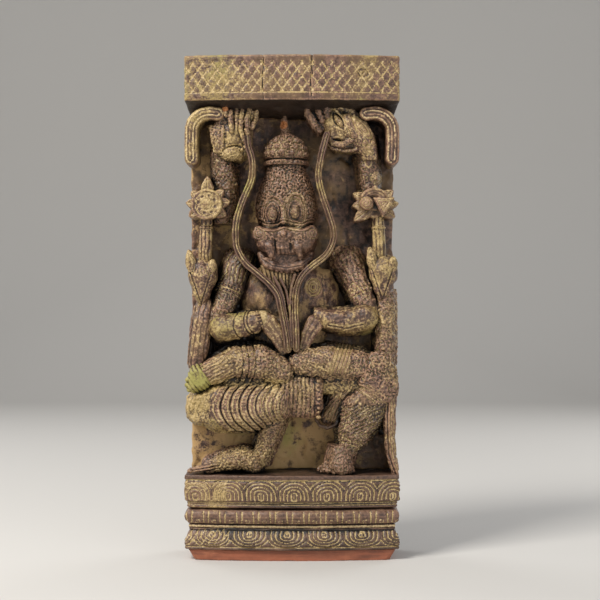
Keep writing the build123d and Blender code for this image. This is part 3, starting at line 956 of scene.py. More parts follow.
def right_raised_hand():
    """Raised hand closed on the strand: a slit between thumb and palm, a cuff below and a leaf on the wrist."""
    c = Clay("right_raised_hand", voxel=FINE, margin=10.0)
    c.add(c.ball((-4, 18, 5), (19, 14, 28), -50), 1)
    fist = c.outline([
        (-24, 30), (-6, 34), (12, 30), (26, 18), (36, -4), (32, -28), (14, -24), (-12, -22), (-26, -12), (-20, 8),
    ])
    c.add(c.prism(fist + 1.0, 9.5, 8.0), 1)
    c.tube([(4, 14, 10), (20, 13, -6), (32, 15, -28)], [15, 13.5, 11.5], 5)
    c.stalk([(-10, 12), (12, -2), (28, -22)], [14, 12, 9], 16)
    c.tubes([
        ([(-22, 12, 30), (-8, 11, 31), (8, 12, 26), (18, 14, 18)], [4, 4.4, 4.2, 4]),
        ([(-14, 8, 29), (-6.6, 6.4, 20.4), (-0.4, 6, 7), (2, 8, -3)], [1.7, 1.9, 1.9, 1.4]),
    ])
    almond, across, _ = leaf_shape(c.x, c.z, (-14.6, 23.6), 21, 8.0, 150)
    c.emboss(unit(-almond / 2.5) * (c.y < 20), 2.4)
    c.incise(almond - 0.6, 1.8, 0.9, 0.0, where=c.y < 20)
    c.incise(almond - 3.0, 0.5, 0.7, 0.8, where=(c.y < 20) & (across < 2))
    cheek = c.outline([(-17, 14), (-14, 4), (-5, -6), (-18, -7)])
    c.add(c.prism(cheek - 1, 6.0, 2.5, back=24), 1.0)
    c.take(c.ball((-1.5, 1, -6.5), (8.0, 5, 3.6)), 1.6)
    c.tubes([
        ([(-22.5, 9, -5.0), (-15.6, 5.0, -13), (-4.8, 4.2, -14.8), (7, 6.5, -9.6)], [2.6, 3.6, 3.9, 3.0]),
        ([(-26, 11, -10.5), (-15.6, 8, -19.0), (0, 7.5, -22.2), (16, 10.5, -19)], [1.9, 2.3, 2.3, 2.0]),
    ])
    for shift in (-5.0, 5.0):
        seam = smooth_path([(-1 + shift, 28), (4.4 + shift, 10), (10.5 + shift, -5)])
        c.incise(c.beside(seam)[0], 1.0, 0.7)
    eye = np.hypot(((c.x - 19.7) * math.cos(0.71) + (c.z - 6.2) * math.sin(0.71)) / 3.4,
                   ((c.x - 19.7) * -math.sin(0.71) + (c.z - 6.2) * math.cos(0.71)) / 8.6)
    c.emboss(bell(eye, 0.8), 1.6)
    for ring in (1.15, 1.9):
        c.incise((eye - ring) * 3.4, 1.1, 0.7)
    c.incise((eye - 0.45) * 3.4, 0.7, 0.6, 0.8)
    for x, z in ((33.4, -12), (27.6, -18.6), (23, -13.4), (30, -24)):
        knob = c.off_axis(x, z)
        c.emboss(bell(knob, 2.2), 1.8)
        c.incise(knob - 3.2, 0.8, 0.6, 0.9)
    c.curls(4.4, 0.6, mask=unit((eye - 1.9) / 0.5))
    c.coat_and_shade = 0.35
    c.finish(FIGURE, rough=(5, 0.6))


def right_raised_thumb():
    """Thumb and heel of the right raised hand, outside the strand."""
    c = Clay("right_raised_thumb", voxel=FINE, margin=9.0)
    outline = c.outline([(-20, 22), (14, 24), (16, 10), (8, -10), (-2, -15), (-8, -8), (-18, 8)])
    c.add(c.prism(outline - 1.0, 9.0, 4.0), 1)
    c.tubes([
        ([(-18, 8, 22), (-15, 5, 10), (-6, 4, -4), (0, 6, -13)], [3.6, 4.4, 4.2, 3.0]),
        ([(-4, 9, 22), (-1, 7, 10), (3, 7, 0)], [4.5, 4.8, 3.4]),
        ([(6, 9, 24), (9, 6.5, 14), (9, 7, 6)], [5.0, 5.6, 4.2]),
    ])
    c.curls(4.5, 0.9)
    c.finish(FACE, rough=(6, 0.8))


def left_upper_arm():
    """Arm with two beaded rings, hatched above them and curled below."""
    c, s, side = limb_member(
        "left_upper_arm", [(5, 30, 32), (-4, 22, 4), (-14, 15, -24), (-21, 15, -38)],
        [18, 17, 15, 13.5], margin=16,
    )
    bands(c, s, (35, 40), 1.8, 1.5, 4.0, side)
    c.hatch(20, 6.0, 0.9, mask=np.clip((34 - s) / 6, 0.2, 1))
    c.curls(5.0, 1.2, mask=np.clip((s - 30) / 6, 0.2, 1))
    c.coat_and_shade = -0.9 + 1.0 * unit((s - 50) / 15)
    c.finish(FIGURE, rough=(6, 0.9))


def right_upper_arm():
    c, s, side = limb_member(
        "right_upper_arm", [(-6, 28, 28), (5, 20, 4), (15, 14, -22), (23, 14, -36)],
        [18, 17, 15.5, 14], margin=16,
    )
    bands(c, s, (38, 44), 1.8, 1.4, 4.5, side)
    c.incise(side + 0.45 * (s - 41), 1.0, 0.7, where=(s > 30) & (s < 52))
    c.hatch(-24, 6.5, 1.0, mask=0.7)
    c.curls(5.4, 0.7)
    c.coat_and_shade = -0.35 + 0.5 * bell(s - 41, 8)
    c.finish(FIGURE, rough=(6, 0.9))


def left_forearm():
    c, s, side = limb_member(
        "left_forearm", [(-20, 18, 0.5), (0, 15, 3), (16, 14, 7), (27, 15, 11)], [16.5, 15.5, 14, 10.5]
    )
    for place in (16, 28, 32, 40):
        c.incise(s - place - 0.02 * side**2, 1.4, 0.9, 0.3)
    bands(c, s, (46,), 1.4, 1.6, 4.0, side)
    c.curls(5.4, 0.6, mask=0.6)
    c.finish(BRIGHT, rough=(7, 1.0))


def right_forearm():
    c, s, side = limb_member(
        "right_forearm", [(20, 17, 4), (-4, 14, -1.5), (-26, 14, 2), (-36, 16, 7)], [16.5, 14, 12, 9]
    )
    c.incise(side + 7.0, 1.3, 0.9, 0.3, where=(s > 6) & (s < 46))
    c.incise(side + 4.4, 0.8, 0.7, where=(s > 10) & (s < 40))
    c.incise(s - 48, 1.2, 0.8, 0.3)
    c.curls(5.4, 0.6, mask=0.6)
    c.finish(BRIGHT, rough=(7, 1.0))


def tearing_hand(node, path, radii, curve):
    """Three fingers side by side along a path, hooked into the figure; curve is the way across them."""
    c = Clay(node, voxel=FINE, margin=8.0)
    for shift, size in ((-0.5, 0.62), (0.15, 0.68), (0.8, 0.6)):
        points = [(x + shift * r * curve[0], y, z + shift * r * curve[1]) for (x, y, z), r in zip(path, radii)]
        d, _, side = c.limb(points, [r * size for r in radii])
        c.add(d, 0.8)
        c.incise(side, 0.35, 0.6, 0.7, where=(c.y < 20))
    c.stalk([(x, z) for x, _, z in path], [r * 0.7 for r in radii], 14)
    c.finish(FIGURE, rough=(5, 0.5))


def tearing_hands():
    left = [(-22, 13, 21), (-9, 9, 17), (3, 8, 0), (12, 10, -20)]
    right = [(20, 13, 20), (5, 9, 15), (-5, 8, -1), (-12, 10, -21)]
    tearing_hand("left_tearing_hand", left, [10, 9, 7.5, 4.5], (0.85, 0.5))
    tearing_hand("right_tearing_hand", right, [9, 8.5, 7, 4.5], (-0.85, 0.5))


def attribute_arm(node, way):
    """Slim arm that holds up the disc or the conch; way is the side its lower end leans to."""
    c, s, side = limb_member(
        node, [(0, 12, 26), (0, 12, 14), (way, 11, -8), (2 * way, 12, -28)], [6.8, 7.4, 8.6, 8.4], skirt=False
    )
    flutes(c, side, 4.6, 0.9, 0.15)
    bands(c, s, (12,), 1.6, 1.6)
    c.finish(BRIGHT, rough=(6, 0.7))


def elbow_leaf(node):
    """Bud at the bend of an arm: a cup with one tall sepal on the outside, closing to a point below."""
    c = Clay(node, margin=8.0)
    c.add(c.ball((0, 16, 4), (18, 16, 20)), 1)
    c.tube([(0, 15, 2), (-1, 14, -16), (-2, 15, -30)], [15.5, 11, 4.5], 4)
    c.stalk([(0, 12), (0, -22)], [15, 8], 18)
    for x, length, width, lean in ((-11, 34, 13, -10), (8, 22, 13, 14), (0, 12, 14, 0)):
        sepal, across, _ = leaf_shape(c.x, c.z, (x, 2), length, width, lean)
        c.add(c.prism(sepal, 3.0 + 0.06 * across**2, 3.0, back=22), 1.2)
        c.incise(sepal + 2.2, 1.0, 0.7, 0.9, where=c.y < 12)
        c.incise(across, 0.8, 0.6, 0.8, where=(sepal < 0) & (c.y < 12))
    for slope in (-0.62, 0.62):
        c.incise(c.x + 1.5 - slope * (c.z + 30) * 0.55, 1.4, 0.9, 0.3, where=(c.z < 8) & (c.y < 22))
    c.curls(4.6, 0.6, mask=0.6)
    c.finish(BRIGHT, rough=(6, 0.9))


def left_holding_arm():
    c, _, side = limb_member(
        "left_holding_arm", [(4, 16, 34), (1, 12, 16), (-3, 11, -14), (-6, 13, -36)], [10, 12.5, 11.5, 10]
    )
    c.add(c.ball((-9, 14, -30), (8, 9, 7.5)), 1.5)
    flutes(c, side, 6.5, 0.8, 0.1)
    c.curls(6.0, 0.7, mask=0.6)
    c.finish(FIGURE, rough=(7, 0.8))


def left_holding_hand():
    """Green fist of pleated cloth, with three finger ends."""
    c = Clay("left_holding_hand", voxel=FINE, margin=5.0)
    c.add(c.ball((1, 15, 0), (16, 15, 15.5), 20), 1)
    c.add(c.ball((-8, 16, -10), (9, 11, 8), 40), 3)
    c.stalk([(0, 6), (0, -6)], [13, 13], 16)
    warp = c.lumps(10, 0.6, 7).mean(axis=1, keepdims=True)
    across = c.x * math.cos(0.65) + c.z * math.sin(0.65) + warp
    c.grooves(across / 4.6, 4.6, 1.2, 0.75, 0.3)
    for x, z in ((-14, -2), (-14.5, -8), (-12, -14)):
        c.add(c.ball((x, 13, z), (3.4, 5, 3.2)), 0.8)
    c.finish(GREEN)


def right_holding_arm():
    c, *_ = limb_member(
        "right_holding_arm", [(-1, 16, 40), (-2, 12, 14), (-2, 12, -12), (-3, 14, -40)],
        [11, 12.5, 12.5, 13],
    )
    c.curls(5.6, 1.5)
    c.finish(FIGURE, rough=(6, 1.0))


# ------------------------------------------------------------------ disc and conch
def flame_ring(node, centre, radius, leaves):
    """Ground behind the disc or the conch, with a ring of flames round it: each has an angle and a length."""
    c = Clay(node, voxel=FINE, margin=12.0)
    r = c.off_axis(*centre)
    c.add(c.prism(r - radius, 2.0, 3.0), 1)
    for angle, length in leaves:
        flame, across, _ = leaf_shape(c.x, c.z, centre, length, 15.5, angle)
        c.add(c.prism(flame, 1.0, 3.0), 1.0)
        c.incise(across, 0.9, 0.7, where=(flame < -0.8) & (c.y < 9))
        c.incise(flame + 3.0, 0.6, 0.5, 0.9, where=c.y < 9)
    c.finish(FIGURE, rough=(5, 0.6))


def chakra():
    """Disc with a rim, a hub and eight round hollows."""
    c = Clay("chakra", voxel=FINE, margin=2.0)
    r = c.off_axis(0, 0)
    c.add(c.prism(r - 18.7, 0.8, 2.2), 0.5)
    c.emboss(bell(r - 16.8, 1.6), 0.8)
    c.incise(r - 14.4, 0.8, 0.6)
    c.incise(r - 6.6, 1.0, 0.8, 0.9)
    c.emboss(bell(r, 3.2), 1.6)
    c.incise(r - 3.6, 0.6, 0.5)
    for step in range(8):
        a = math.pi * (2 * step + 0.6) / 8
        spot = np.hypot(c.x - 10.4 * math.sin(a), c.z - 10.4 * math.cos(a))
        c.incise(spot, 1.1, 1.8, 0.0)
        c.incise(spot - 2.9, 0.5, 0.6, 0.9)
    c.finish(BRIGHT, rough=(5, 0.4))


def conch():
    """Spiral of the shell to the left, its triangular mouth to the right, in a fold of cloth."""
    c = Clay("conch", voxel=FINE, margin=7.0)
    c.add(c.ball((-13, 12, 2), (9.5, 10, 9.5)), 1)
    r = c.off_axis(-13.5, 1.5)
    angle = np.arctan2(c.z - 1.5, c.x + 13.5)
    c.grooves(r / 3.2 - angle / (2 * math.pi), 3.2, 1.1, 0.6, 0.9, where=(r < 9.5) & (c.y < 12))
    mouth = c.outline([(-4, 8), (20, 8), (17, 1), (7, -14)])
    c.add(c.prism(mouth - 1.0, 5.0, 3.5, back=30), 1.5)
    c.incise(mouth + 3.2, 0.9, 0.7, where=c.y < 12)
    c.incise(mouth + 6.2, 0.6, 0.6, 0.9, where=c.y < 12)
    for radius in (9, 12.5, 16):
        c.tube([(-3 + radius * math.cos(t), 12 - radius * 0.3, 6 + radius * 0.8 * math.sin(t))
                for t in np.linspace(0.3, 2.8, 7)], [1.7] * 7, 0.8)
    c.stalk([(-12, 2), (10, 2)], [8, 9], 14)
    c.finish(FIGURE, rough=(5, 0.5))


# ------------------------------------------------------------------ crown and head
HEAD_OUTLINE = [  # height over the middle of the head, half width, depth of the front
    (-46, 22, 20), (-32, 30, 12), (-23, 35, 8), (-14, 38, 6), (-5, 39, 6), (3, 38, 7), (9, 34, 9), (14, 36, 8),
    (21, 38.4, 7), (30, 39.0, 6), (38, 38.2, 6), (47, 36, 7), (56, 32.6, 9), (65, 28.6, 12), (73, 25, 15),
    (78, 23.6, 16), (79.5, 25, 14), (81, 27.4, 12), (85.0, 27.4, 11.5), (86.6, 25.4, 13.5), (88.4, 26.0, 12),
    (91, 27.6, 9.5), (95, 28.2, 8.5), (99, 27.4, 9), (103, 25.2, 10.5), (107.4, 22.4, 12.5), (111, 19.8, 15.5),
    (114.6, 16.4, 19), (117.5, 11.6, 24), (119.6, 7.6, 29), (122, 5, 32), (124, 3.4, 34),
]


def head():
    """Lion head and tall crown, worked as one piece of clay and parted where its members meet."""
    c = Clay("lion_head", voxel=HEAD_VOXEL, margin=5.0, above=89.0, bowed=False)
    z, *columns = np.array(HEAD_OUTLINE).T
    half, front = [np.interp(c.z, z, column).astype(np.float32) for column in columns]
    axis = 46.0
    deep = axis - front
    q = ((np.abs(c.x - 0.7) / half) ** 2.3 + (np.maximum(axis - c.y, 0) / deep) ** 2.3) ** (1 / 2.3)
    slope = np.abs(np.gradient(half, axis=2)) / c.voxel
    c.d = ((q - 1) * np.minimum(half, deep) / np.sqrt(1 + 0.7 * slope**2)).astype(np.float32)
    c.d = np.maximum(c.d, c.z - 120).astype(np.float32)
    front_zone = unit((34 - c.y) / 8)

    # crown: leafed dome, beaded ring, curled cap
    turn = np.arctan2(c.x - 0.7, axis - c.y) * 27
    dome = unit((c.z - 89) / 2)
    for row, (at, count, radius) in enumerate(((94.0, 9.6, 4.4), (102.5, 9.4, 4.2), (110.5, 9.0, 3.8))):
        place = (turn / count + 0.5 * (row % 2)) % 1.0 - 0.5
        leaf = np.hypot(place * count, (c.z - at) * 0.95)
        c.emboss(bell(leaf, radius * 0.55) * dome, 1.3)
        c.incise(leaf - radius, 1.2, 0.75, 0.8, where=dome * unit((radius + 2.5 - leaf) / 2))
    c.emboss(bell(np.hypot(c.x + 3, (c.z - 100) / 2), 4.5) * dome * front_zone, 2.4)
    c.curls(4.0, 0.8, mask=dome)
    beads = unit(1 - np.abs(c.z - 83.4) / 2.6)
    c.emboss(beads * np.cos(2 * math.pi * turn / 4.8), 0.9)
    c.incise(c.z - 87.4, 1.2, 0.8, 0.3)
    c.incise(c.z - 79.6, 1.2, 0.8, 0.1)

    # sockets, eyes, brows
    eyes = ((-15.6, 19.3, 6.0, 9.4), (11.6, 22.4, 5.8, 9.2))
    far = np.minimum(*[np.hypot((c.x - x) / (rx * 2.3), (c.z - z0) / (rz * 2.15)) for x, z0, rx, rz in eyes])
    cap = unit((c.z - 12) / 6) * unit((80 - c.z) / 3) * unit((far - 0.95) / 0.2)
    c.curls(4.8, 1.7, mask=cap)
    for at, (x, z0, rx, rz) in enumerate(eyes):
        e = np.hypot((c.x - x) / rx, (c.z - z0) / rz) + c.lumps(5, 0.10, 14 + at)
        c.lower(2.2 * bell(e, 1.7) * front_zone)
        c.add(c.ball((x, 11.0, z0), (rx * 0.98, 7.8, rz * 0.98)), 0.6)
        for ring in (1.42, 1.86, 2.25):
            c.emboss(bell((e - ring) * rx, 0.9) * front_zone, 0.7)
            c.incise((e - ring - 0.21) * rx, 0.7, 0.7, 0.5 + 0.4 * at, where=front_zone)
        c.incise((e - 0.66) * rx, 0.5, 0.5, 0.7, where=front_zone)
        brow = smooth_path([(x - 10, z0 + 12), (x - 2, z0 + 21.5), (x + 8, z0 + 19), (x + 12, z0 + 12)])
        arch = c.beside(brow)
        c.emboss(bell(arch[0], 1.6) * front_zone, 1.6)
        c.incise(arch[1] - 2.6, 1.1, 0.8, 0.8, where=front_zone * (arch[0] < 6))
    # lighter below the snout; darker up the brows and the crown and again on the cap, as painted shade under the
    # capital
    c.coat_and_shade = 0.30 * unit((12 - c.z) / 8) - 0.20 * unit((c.z - 30) / 14)
    c.coat_and_shade = c.coat_and_shade - 0.15 * unit((c.z - 84) / 6)
    for x, z0, rx, rz in eyes:
        c.coat_and_shade = c.coat_and_shade + 0.9 * np.clip(1.35 - np.hypot((c.x - x) / rx, (c.z - z0) / rz), 0, 0.5)
    c.tube([(-2.6, 9, 36), (-2.4, 6.5, 24), (-2.2, 5, 8)], [2.6, 2.8, 3.6], 2.5)
    for z0 in (30, 24.5, 19.5):
        c.add(c.ball((-3.4, 4.6, z0), (2.0, 2.6, 2.0)), 0.7)

    # cheeks and snout
    lip = smooth_path([
        (-42, 4.6), (-34, 8.4), (-26, 3.6), (-14, 2.6), (-2, 6.4), (8, 4.6), (20, 2.8), (32, 7.6), (41, 4.4),
    ])
    off, side, _ = c.beside(lip)
    for x in (-20.4, 21.0):
        c.add(c.ball((x, 16, -4.6), (19.5, 14, 12.8)), 3.0)
        c.add(c.ball((x * 0.98, 16, -15), (15, 11.5, 12)), 3.0)
    c.add(c.ball((-1.4, 13, -6), (11, 9.5, 10)), 3.0)
    c.lower(2.8 * bell(off, 1.5) * unit((40 - c.y) / 8))
    for gap in (-3.4, -6.6, 3.6):
        c.emboss(bell(side - gap, 1.0) * front_zone * (off < 9), 1.1)
        c.incise(side - gap - 1.7, 0.9, 0.7, 0.7, where=front_zone * (off < 9))
    for x, z0, turn_way in ((-31.5, -4.6, -1.0), (32.6, -3.6, 1.0)):
        r = c.off_axis(x, z0)
        c.add(c.ball((x, 15, z0), (7.6, 8.0, 9.4)), 2.4)
        r = r + c.lumps(5, 0.6, 12)
        swirl = r / 3.7 - turn_way * np.arctan2(c.z - z0, c.x - x) / (2 * math.pi)
        c.grooves(swirl, 3.7, 1.0, 0.7, 0.8, where=(r < 8.5) * front_zone)
    c.add(c.ball((-2.2, 3.6, -5.2), (3.6, 3.6, 3.4)), 0.7)
    for x in (-7.6, 4.6):
        c.add(c.ball((x, 6.4, -7.2), (3.4, 4, 3)), 1.0)
        c.take(c.ball((x, 2.0, -10.2), (1.6, 3, 1.3)), 0.7)
    pads = unit((9 - np.abs(np.abs(c.x) - 17)) / 3) * unit((c.z + 15) / 3) * unit((-c.z) / 3)
    c.curls(4.2, 1.0, mask=pads * front_zone)

    # open mouth, fangs and front teeth
    c.take(c.ball((-1, 6, -36), (25, 11, 9.5)), 2.5)
    for x0, x1, r in ((-19.4, -18.0, 6.4), (15.2, 17.6, 6.4)):
        path = [(x0, 14, -12), (x0, 8.5, -20), (x1, 9.0, -30), (x1 + 0.4, 11, -36)]
        fang, s, _ = c.limb(path, [r, r, 3.6, 1.2])
        c.add(fang, 1.4)
        c.incise(s - 11, 0.7, 0.7, 0.5)
    for x, r in ((-8.6, 2.9), (-3.6, 3.3), (1.4, 2.9)):
        c.tube([(x, 12, -13), (x * 0.98, 9.5, -21), (x * 0.96, 12, -27)], [r, r, r * 0.75], 0.7)
    for x0, x1 in ((-12.6, -12.6), (6.0, 6.4)):
        c.take(c.limb([(x0, 8, -12), (x1, 9, -27)], [1.3, 1.9])[0], 1.0)
    c.curls(3.6, 0.7, mask=front_zone * np.clip((c.z - 4) / 6, 0.35, 1))
    c.roughen(4, 0.7)
    c.roughen(2.2, 0.16, 77)
    c.d = np.maximum(c.d, c.y - c.back).astype(np.float32)
    joints = [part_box("crown_cap")[0][2] / MM - c.middle[2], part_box("crown_dome")[0][2] / MM - c.middle[2]]
    c.mesh("lion_head", FACE, high=joints[0] + 0.2)
    c.mesh("crown_cap", FACE, low=joints[0] - 0.2, high=joints[1] + 0.2)
    c.mesh("crown_dome", FACE, low=joints[1] - 0.2)


def crown_finial():
    """Bud on the crown, chipped at its front."""
    c = Clay("crown_finial", voxel=FINE, margin=6.0)
    c.tube([(0, 12, -16), (-1, 8, -9), (-2, 5, -3), (-2, 6, 4), (-1, 8, 12)], [7, 5, 5.6, 4.2, 1.4], 1)
    c.stalk([(-1, -14), (-1, 8)], [5, 2.5], 10)
    c.take(c.ball((-5, 2, -2), (3.4, 3, 4)), 0.6)
    c.curls(3.4, 1.0)
    c.chips = [(-2.5, -2, 4.5)]
    c.finish(FACE, "worn_wood")


def chin_collar():
    """Beaded roll under the jaw."""
    c = Clay("chin_collar", voxel=FINE, margin=10.0)
    jaw, _, side = c.limb(
        [(-30, 16, 16), (-26, 12, 8), (-15, 9, 1), (3, 8, -2), (19, 9, 1), (29, 12, 9), (33, 16, 17)],
        [4, 5, 6, 6.6, 6, 5, 4],
    )
    c.add(jaw, 1)
    c.stalk([(-20, 4), (22, 4)], [7, 7], 6)
    c.incise(side, 0.8, 0.7, 0.3, where=c.y < 10)
    for x in np.arange(-22, 30, 6.2):
        z = -6.5 + 0.012 * (x - 3) ** 2
        c.add(c.ball((x, 7, z), (2.7, 3.2, 2.5)), 0.8)
    c.roughen(4, 0.5)
    c.finish(FACE, "worn_wood")


def mane():
    """Fan of locks under the chin."""
    c = Clay("mane", voxel=FINE, margin=10.0)
    outline = c.outline([(-26, 32), (26, 32), (24, 18), (13, -8), (9, -34), (5, -34), (-2, -10), (-22, 16)])
    c.add(c.prism(outline - 1.5, 1.0 + 0.004 * c.x**2, 4.0), 1)
    fan = np.arctan2(c.x - 8, c.z + 75)
    c.grooves(fan * 100 / 4.6, 4.6, 1.5, 0.8, 0.2, where=c.y < 12)
    c.coat_and_shade = 0.8
    c.finish(SKIN, rough=(5, 0.5))


def torso():
    """Broad shoulders and chest in low relief, with a ringed boss on the right breast."""
    c = Clay("torso", margin=20.0)
    chest = c.outline([
        (-62, 24), (-50, 50), (-20, 60), (22, 60), (52, 50), (64, 26), (62, -12), (48, -34), (36, -56), (-36, -56),
        (-48, -34), (-64, -14),
    ])
    c.add(c.prism(chest + 2.0, 4.0 + 0.0036 * c.x**2 + 0.0016 * (c.z - 14) ** 2, 12.0), 1)
    c.add(c.ball((-30, 18, 14), (19, 14, 22)), 6)
    c.add(c.ball((31, 18, 22), (20, 14, 24)), 6)
    boss = np.hypot((c.x - 30) / 0.8, c.z - 27)
    for radius in (3.2, 6.4, 10.2):
        c.incise(boss - radius, 2.0, 1.2, where=c.y < 20)
    c.emboss(bell(boss, 3.0) * (c.y < 20), 1.8)
    c.incise(c.x - 44 + 0.1 * c.z, 1.0, 0.8, 0.6, where=(c.y < 16) & (c.z < 40))
    c.hatch(12, 7.0, 0.4, mask=0.7 * (boss > 13))
    # more paint and less painted shade over the chest, and lighter to the right as painted light on the side that
    # lies in shade; the lumps are patchy paint
    c.coat_and_shade = 0.9 + 0.25 * np.clip(c.x / 30, -1, 1) + c.lumps(9, 0.8, 67)
    c.finish(SKIN, rough=(8, 1.0))


# ------------------------------------------------------------------ figure across the lap
def lap_figure_legs():
    c, s, side = limb_member(
        "lap_figure_legs", [(-44, 18, -7), (-16, 18, 5), (14, 17, 5), (40, 18, -6)], [16, 20, 21.5, 17.5],
        margin=12.0,
    )
    web = c.outline([(-34, 8), (50, 8), (50, -34), (-30, -34)])
    c.add(c.prism(web + 2, 13.0, 9.0), 5)
    for place in (42, 49, 57):
        c.incise(s - place + 0.012 * side**2, 1.7, 1.0, 0.2)
    for step in range(6):
        x = -26 + step * 6.3
        spot = np.hypot(c.x - x, c.z - 15 - 0.16 * x)
        c.emboss(bell(spot, 2.2), 1.8)
        c.incise(spot - 3.1, 0.9, 0.6, 0.8)
    c.hatch(60, 5.0, 1.4, mask=unit((-14 - c.x) / 8))
    c.curls(5.2, 1.7, mask=unit((c.x + 24) / 10))
    c.coat_and_shade = 1.0 * unit((-12 - c.z) / 8)
    c.finish(FIGURE, rough=(6, 1.0))


def lap_figure_body():
    """Body across the lap, with a striped cloth."""
    c, *_ = limb_member(
        "lap_figure_body", [(-30, 19, 5), (2, 17, 5), (38, 18, 2)], [17.5, 20.5, 18.5], margin=12.0
    )
    web = c.outline([(-46, 8), (50, 8), (50, -36), (-46, -36)])
    c.add(c.prism(web + 2, 13.0, 9.0), 5)
    lean = (c.x - 16) - 0.32 * (c.z - 6)
    striped = unit((13 - np.abs(lean)) / 2) * unit((c.z + 10) / 4)
    c.grooves(lean / 4.6, 4.6, 1.7, 0.85, 0.9, where=striped)
    c.curls(5.0, 1.7, mask=1 - striped)
    c.coat_and_shade = 0.8 * unit((-14 - c.z) / 8)
    c.finish(FIGURE, rough=(6, 1.0))


def lap_figure_knee():
    """Knee at the right edge, cross-hatched at its lower left."""
    c = Clay("lap_figure_knee", margin=5.0)
    c.add(c.ball((0, 20, 2), (25, 19, 33), 10), 1)
    c.add(c.ball((8, 18, -8), (19, 16, 22)), 4)
    c.stalk([(-4, 14), (6, -14)], [19, 20], 20)
    crossed = unit((6 - c.x) / 6) * unit((-c.z) / 6)
    c.hatch(-60, 5.0, 1.6, mask=crossed)
    c.curls(5.4, 2.3, mask=1 - crossed)
    c.finish(FIGURE, rough=(6, 1.0))


def lap_figure_shin():
    c, _, side = limb_member(
        "lap_figure_shin", [(-2, 13, 46), (-3, 11, 22), (-2.5, 11, -2), (-1, 11, -24), (3, 12, -36), (7, 14, -46)],
        [9, 8.4, 7.4, 6.6, 6.6, 7.0], margin=4.0, skirt=False
    )
    c.incise(side - 2.6, 1.6, 0.9, 0.2)
    c.incise(side + 1.6, 1.2, 0.8, 0.9)
    c.incise(side + 5.0, 1.0, 0.8, 0.9)
    c.curls(6.0, 0.9, mask=0.7)
    c.finish(FIGURE, rough=(8, 1.2))


# ------------------------------------------------------------------ legs of the deity
def left_thigh():
    """Thigh in a pleated wrap: bowed rolls of cloth, each set with small beads."""
    c, _, side = limb_member(
        "left_thigh", [(-47, 20, -3), (-20, 30, -1), (12, 30, -1), (42, 27, 5)],
        [18.5, 29.5, 30.5, 26], stalk=0.85,
    )
    run = c.x + 44 - 0.020 * (c.z - 1) ** 2 + c.lumps(16, 1.6, 40)
    at = (run - 9) / 12.5
    phase = at + 0.028 * at**2
    covered = unit((run - 9) / 3) * unit((96 - run) / 4)
    deep = np.clip((86 - run) / 30, 0.55, 1)
    gap = np.abs(phase - np.round(phase))
    width = 12.5 / (1 + 0.056 * np.clip(at, 0, 8))
    groove = gap * width
    c.incise(groove, 2.8, 1.3, 0.0, where=covered * deep)
    crest = bell(groove - 0.48 * width, 2.2) * covered
    c.emboss(crest * (0.5 + 0.5 * np.cos(2 * math.pi * side / 4.0)), 1.6)
    c.incise(groove - 0.27 * width, 1.0, 0.7, where=covered)
    c.hatch(10, 5.4, 0.7, mask=unit((9 - run) / 4))
    c.hatch(5, 4.0, 1.2, mask=unit((run - 62) / 10))
    c.curls(4.2, 0.5, mask=0.9 * covered)
    c.coat_and_shade = np.maximum(0.9 * unit((14 - run) / 8), 0.9 * unit((c.z - 20) / 8))
    c.finish(FIGURE, rough=(7, 0.8))


def waist_pleat():
    """Fan of pleats at the waist, with a beaded hem."""
    c = Clay("waist_pleat", margin=6.0)
    outline = c.outline([(-28, 26), (26, 28), (25, -14), (18, -25), (2, -27), (-26, -24)])
    c.add(c.prism(outline - 0.5, 2.0 + 0.012 * (c.z - 4) ** 2, 6.0), 1)
    fan = (c.x + 0.002 * (c.z - 6) ** 2) * (1 + 0.004 * (c.z + 10)) + c.lumps(12, 0.9, 20)
    c.grooves(fan / 5.4, 5.4, 1.6, 0.9, 0.6, where=(c.x < 14) & (c.y < 18))
    for z in np.arange(-24, 24, 5.4):
        c.add(c.ball((20, 4.4, z), (2.7, 3.2, 2.2)), 0.8)
    c.incise(c.x - 15.5, 1.4, 0.8, 0.3, where=c.y < 16)
    c.curls(4.2, 1.0, mask=0.8)
    c.finish(FIGURE, rough=(6, 0.9))


def waist_tassel():
    """Loose end of the waist cloth: a dark fold with a turned-up hem."""
    c = Clay("waist_tassel", margin=6.0)
    outline = c.outline([(-6, 17), (13, 17), (12, -2), (6, -10), (-8, -10), (-8, 2)])
    c.add(c.prism(outline - 0.5, 8.0, 3.5), 1)
    hem = [(-15, 9, -5), (-10, 6, -12), (0, 5, -15), (10, 6, -11), (12, 9, -4)]
    c.tube(hem, [1.6, 2.2, 2.6, 2.4, 2.0], 0.9)
    for shift in (-6, -1, 4):
        c.incise(c.beside([(shift + 4, 18), (shift - 2, -10)])[0], 1.6, 0.9, 0.1)
    # darkest grime and painted shade all over
    c.coat_and_shade = -1.1
    c.finish(DARK, rough=(5, 0.9))


def left_shin():
    c, s, side = limb_member(
        "left_shin", [(9, 14, 32), (0, 12, 6), (-8, 13, -16), (-12, 15, -28)],
        [14, 13, 11.5, 11.5], margin=6.0,
    )
    bands(c, s, (52,), 1.4, 1.5, 3.6, side)
    c.curls(4.8, 1.9)
    c.finish(FIGURE, rough=(6, 1.0))


def foot(node, points, radii, toes):
    """Foot seen from the side or front: an instep chain, then one short tube for each toe."""
    c, s, side = limb_member(node, points, radii, stalk=0.9, margin=5.0, voxel=FINE)
    for root, tip, r in toes:
        c.tube([root, tip], [r, r * 0.85], 1.0)
    c.d = np.maximum(c.d, -c.half[2] - c.z + 0.3).astype(np.float32)
    return c, s, side


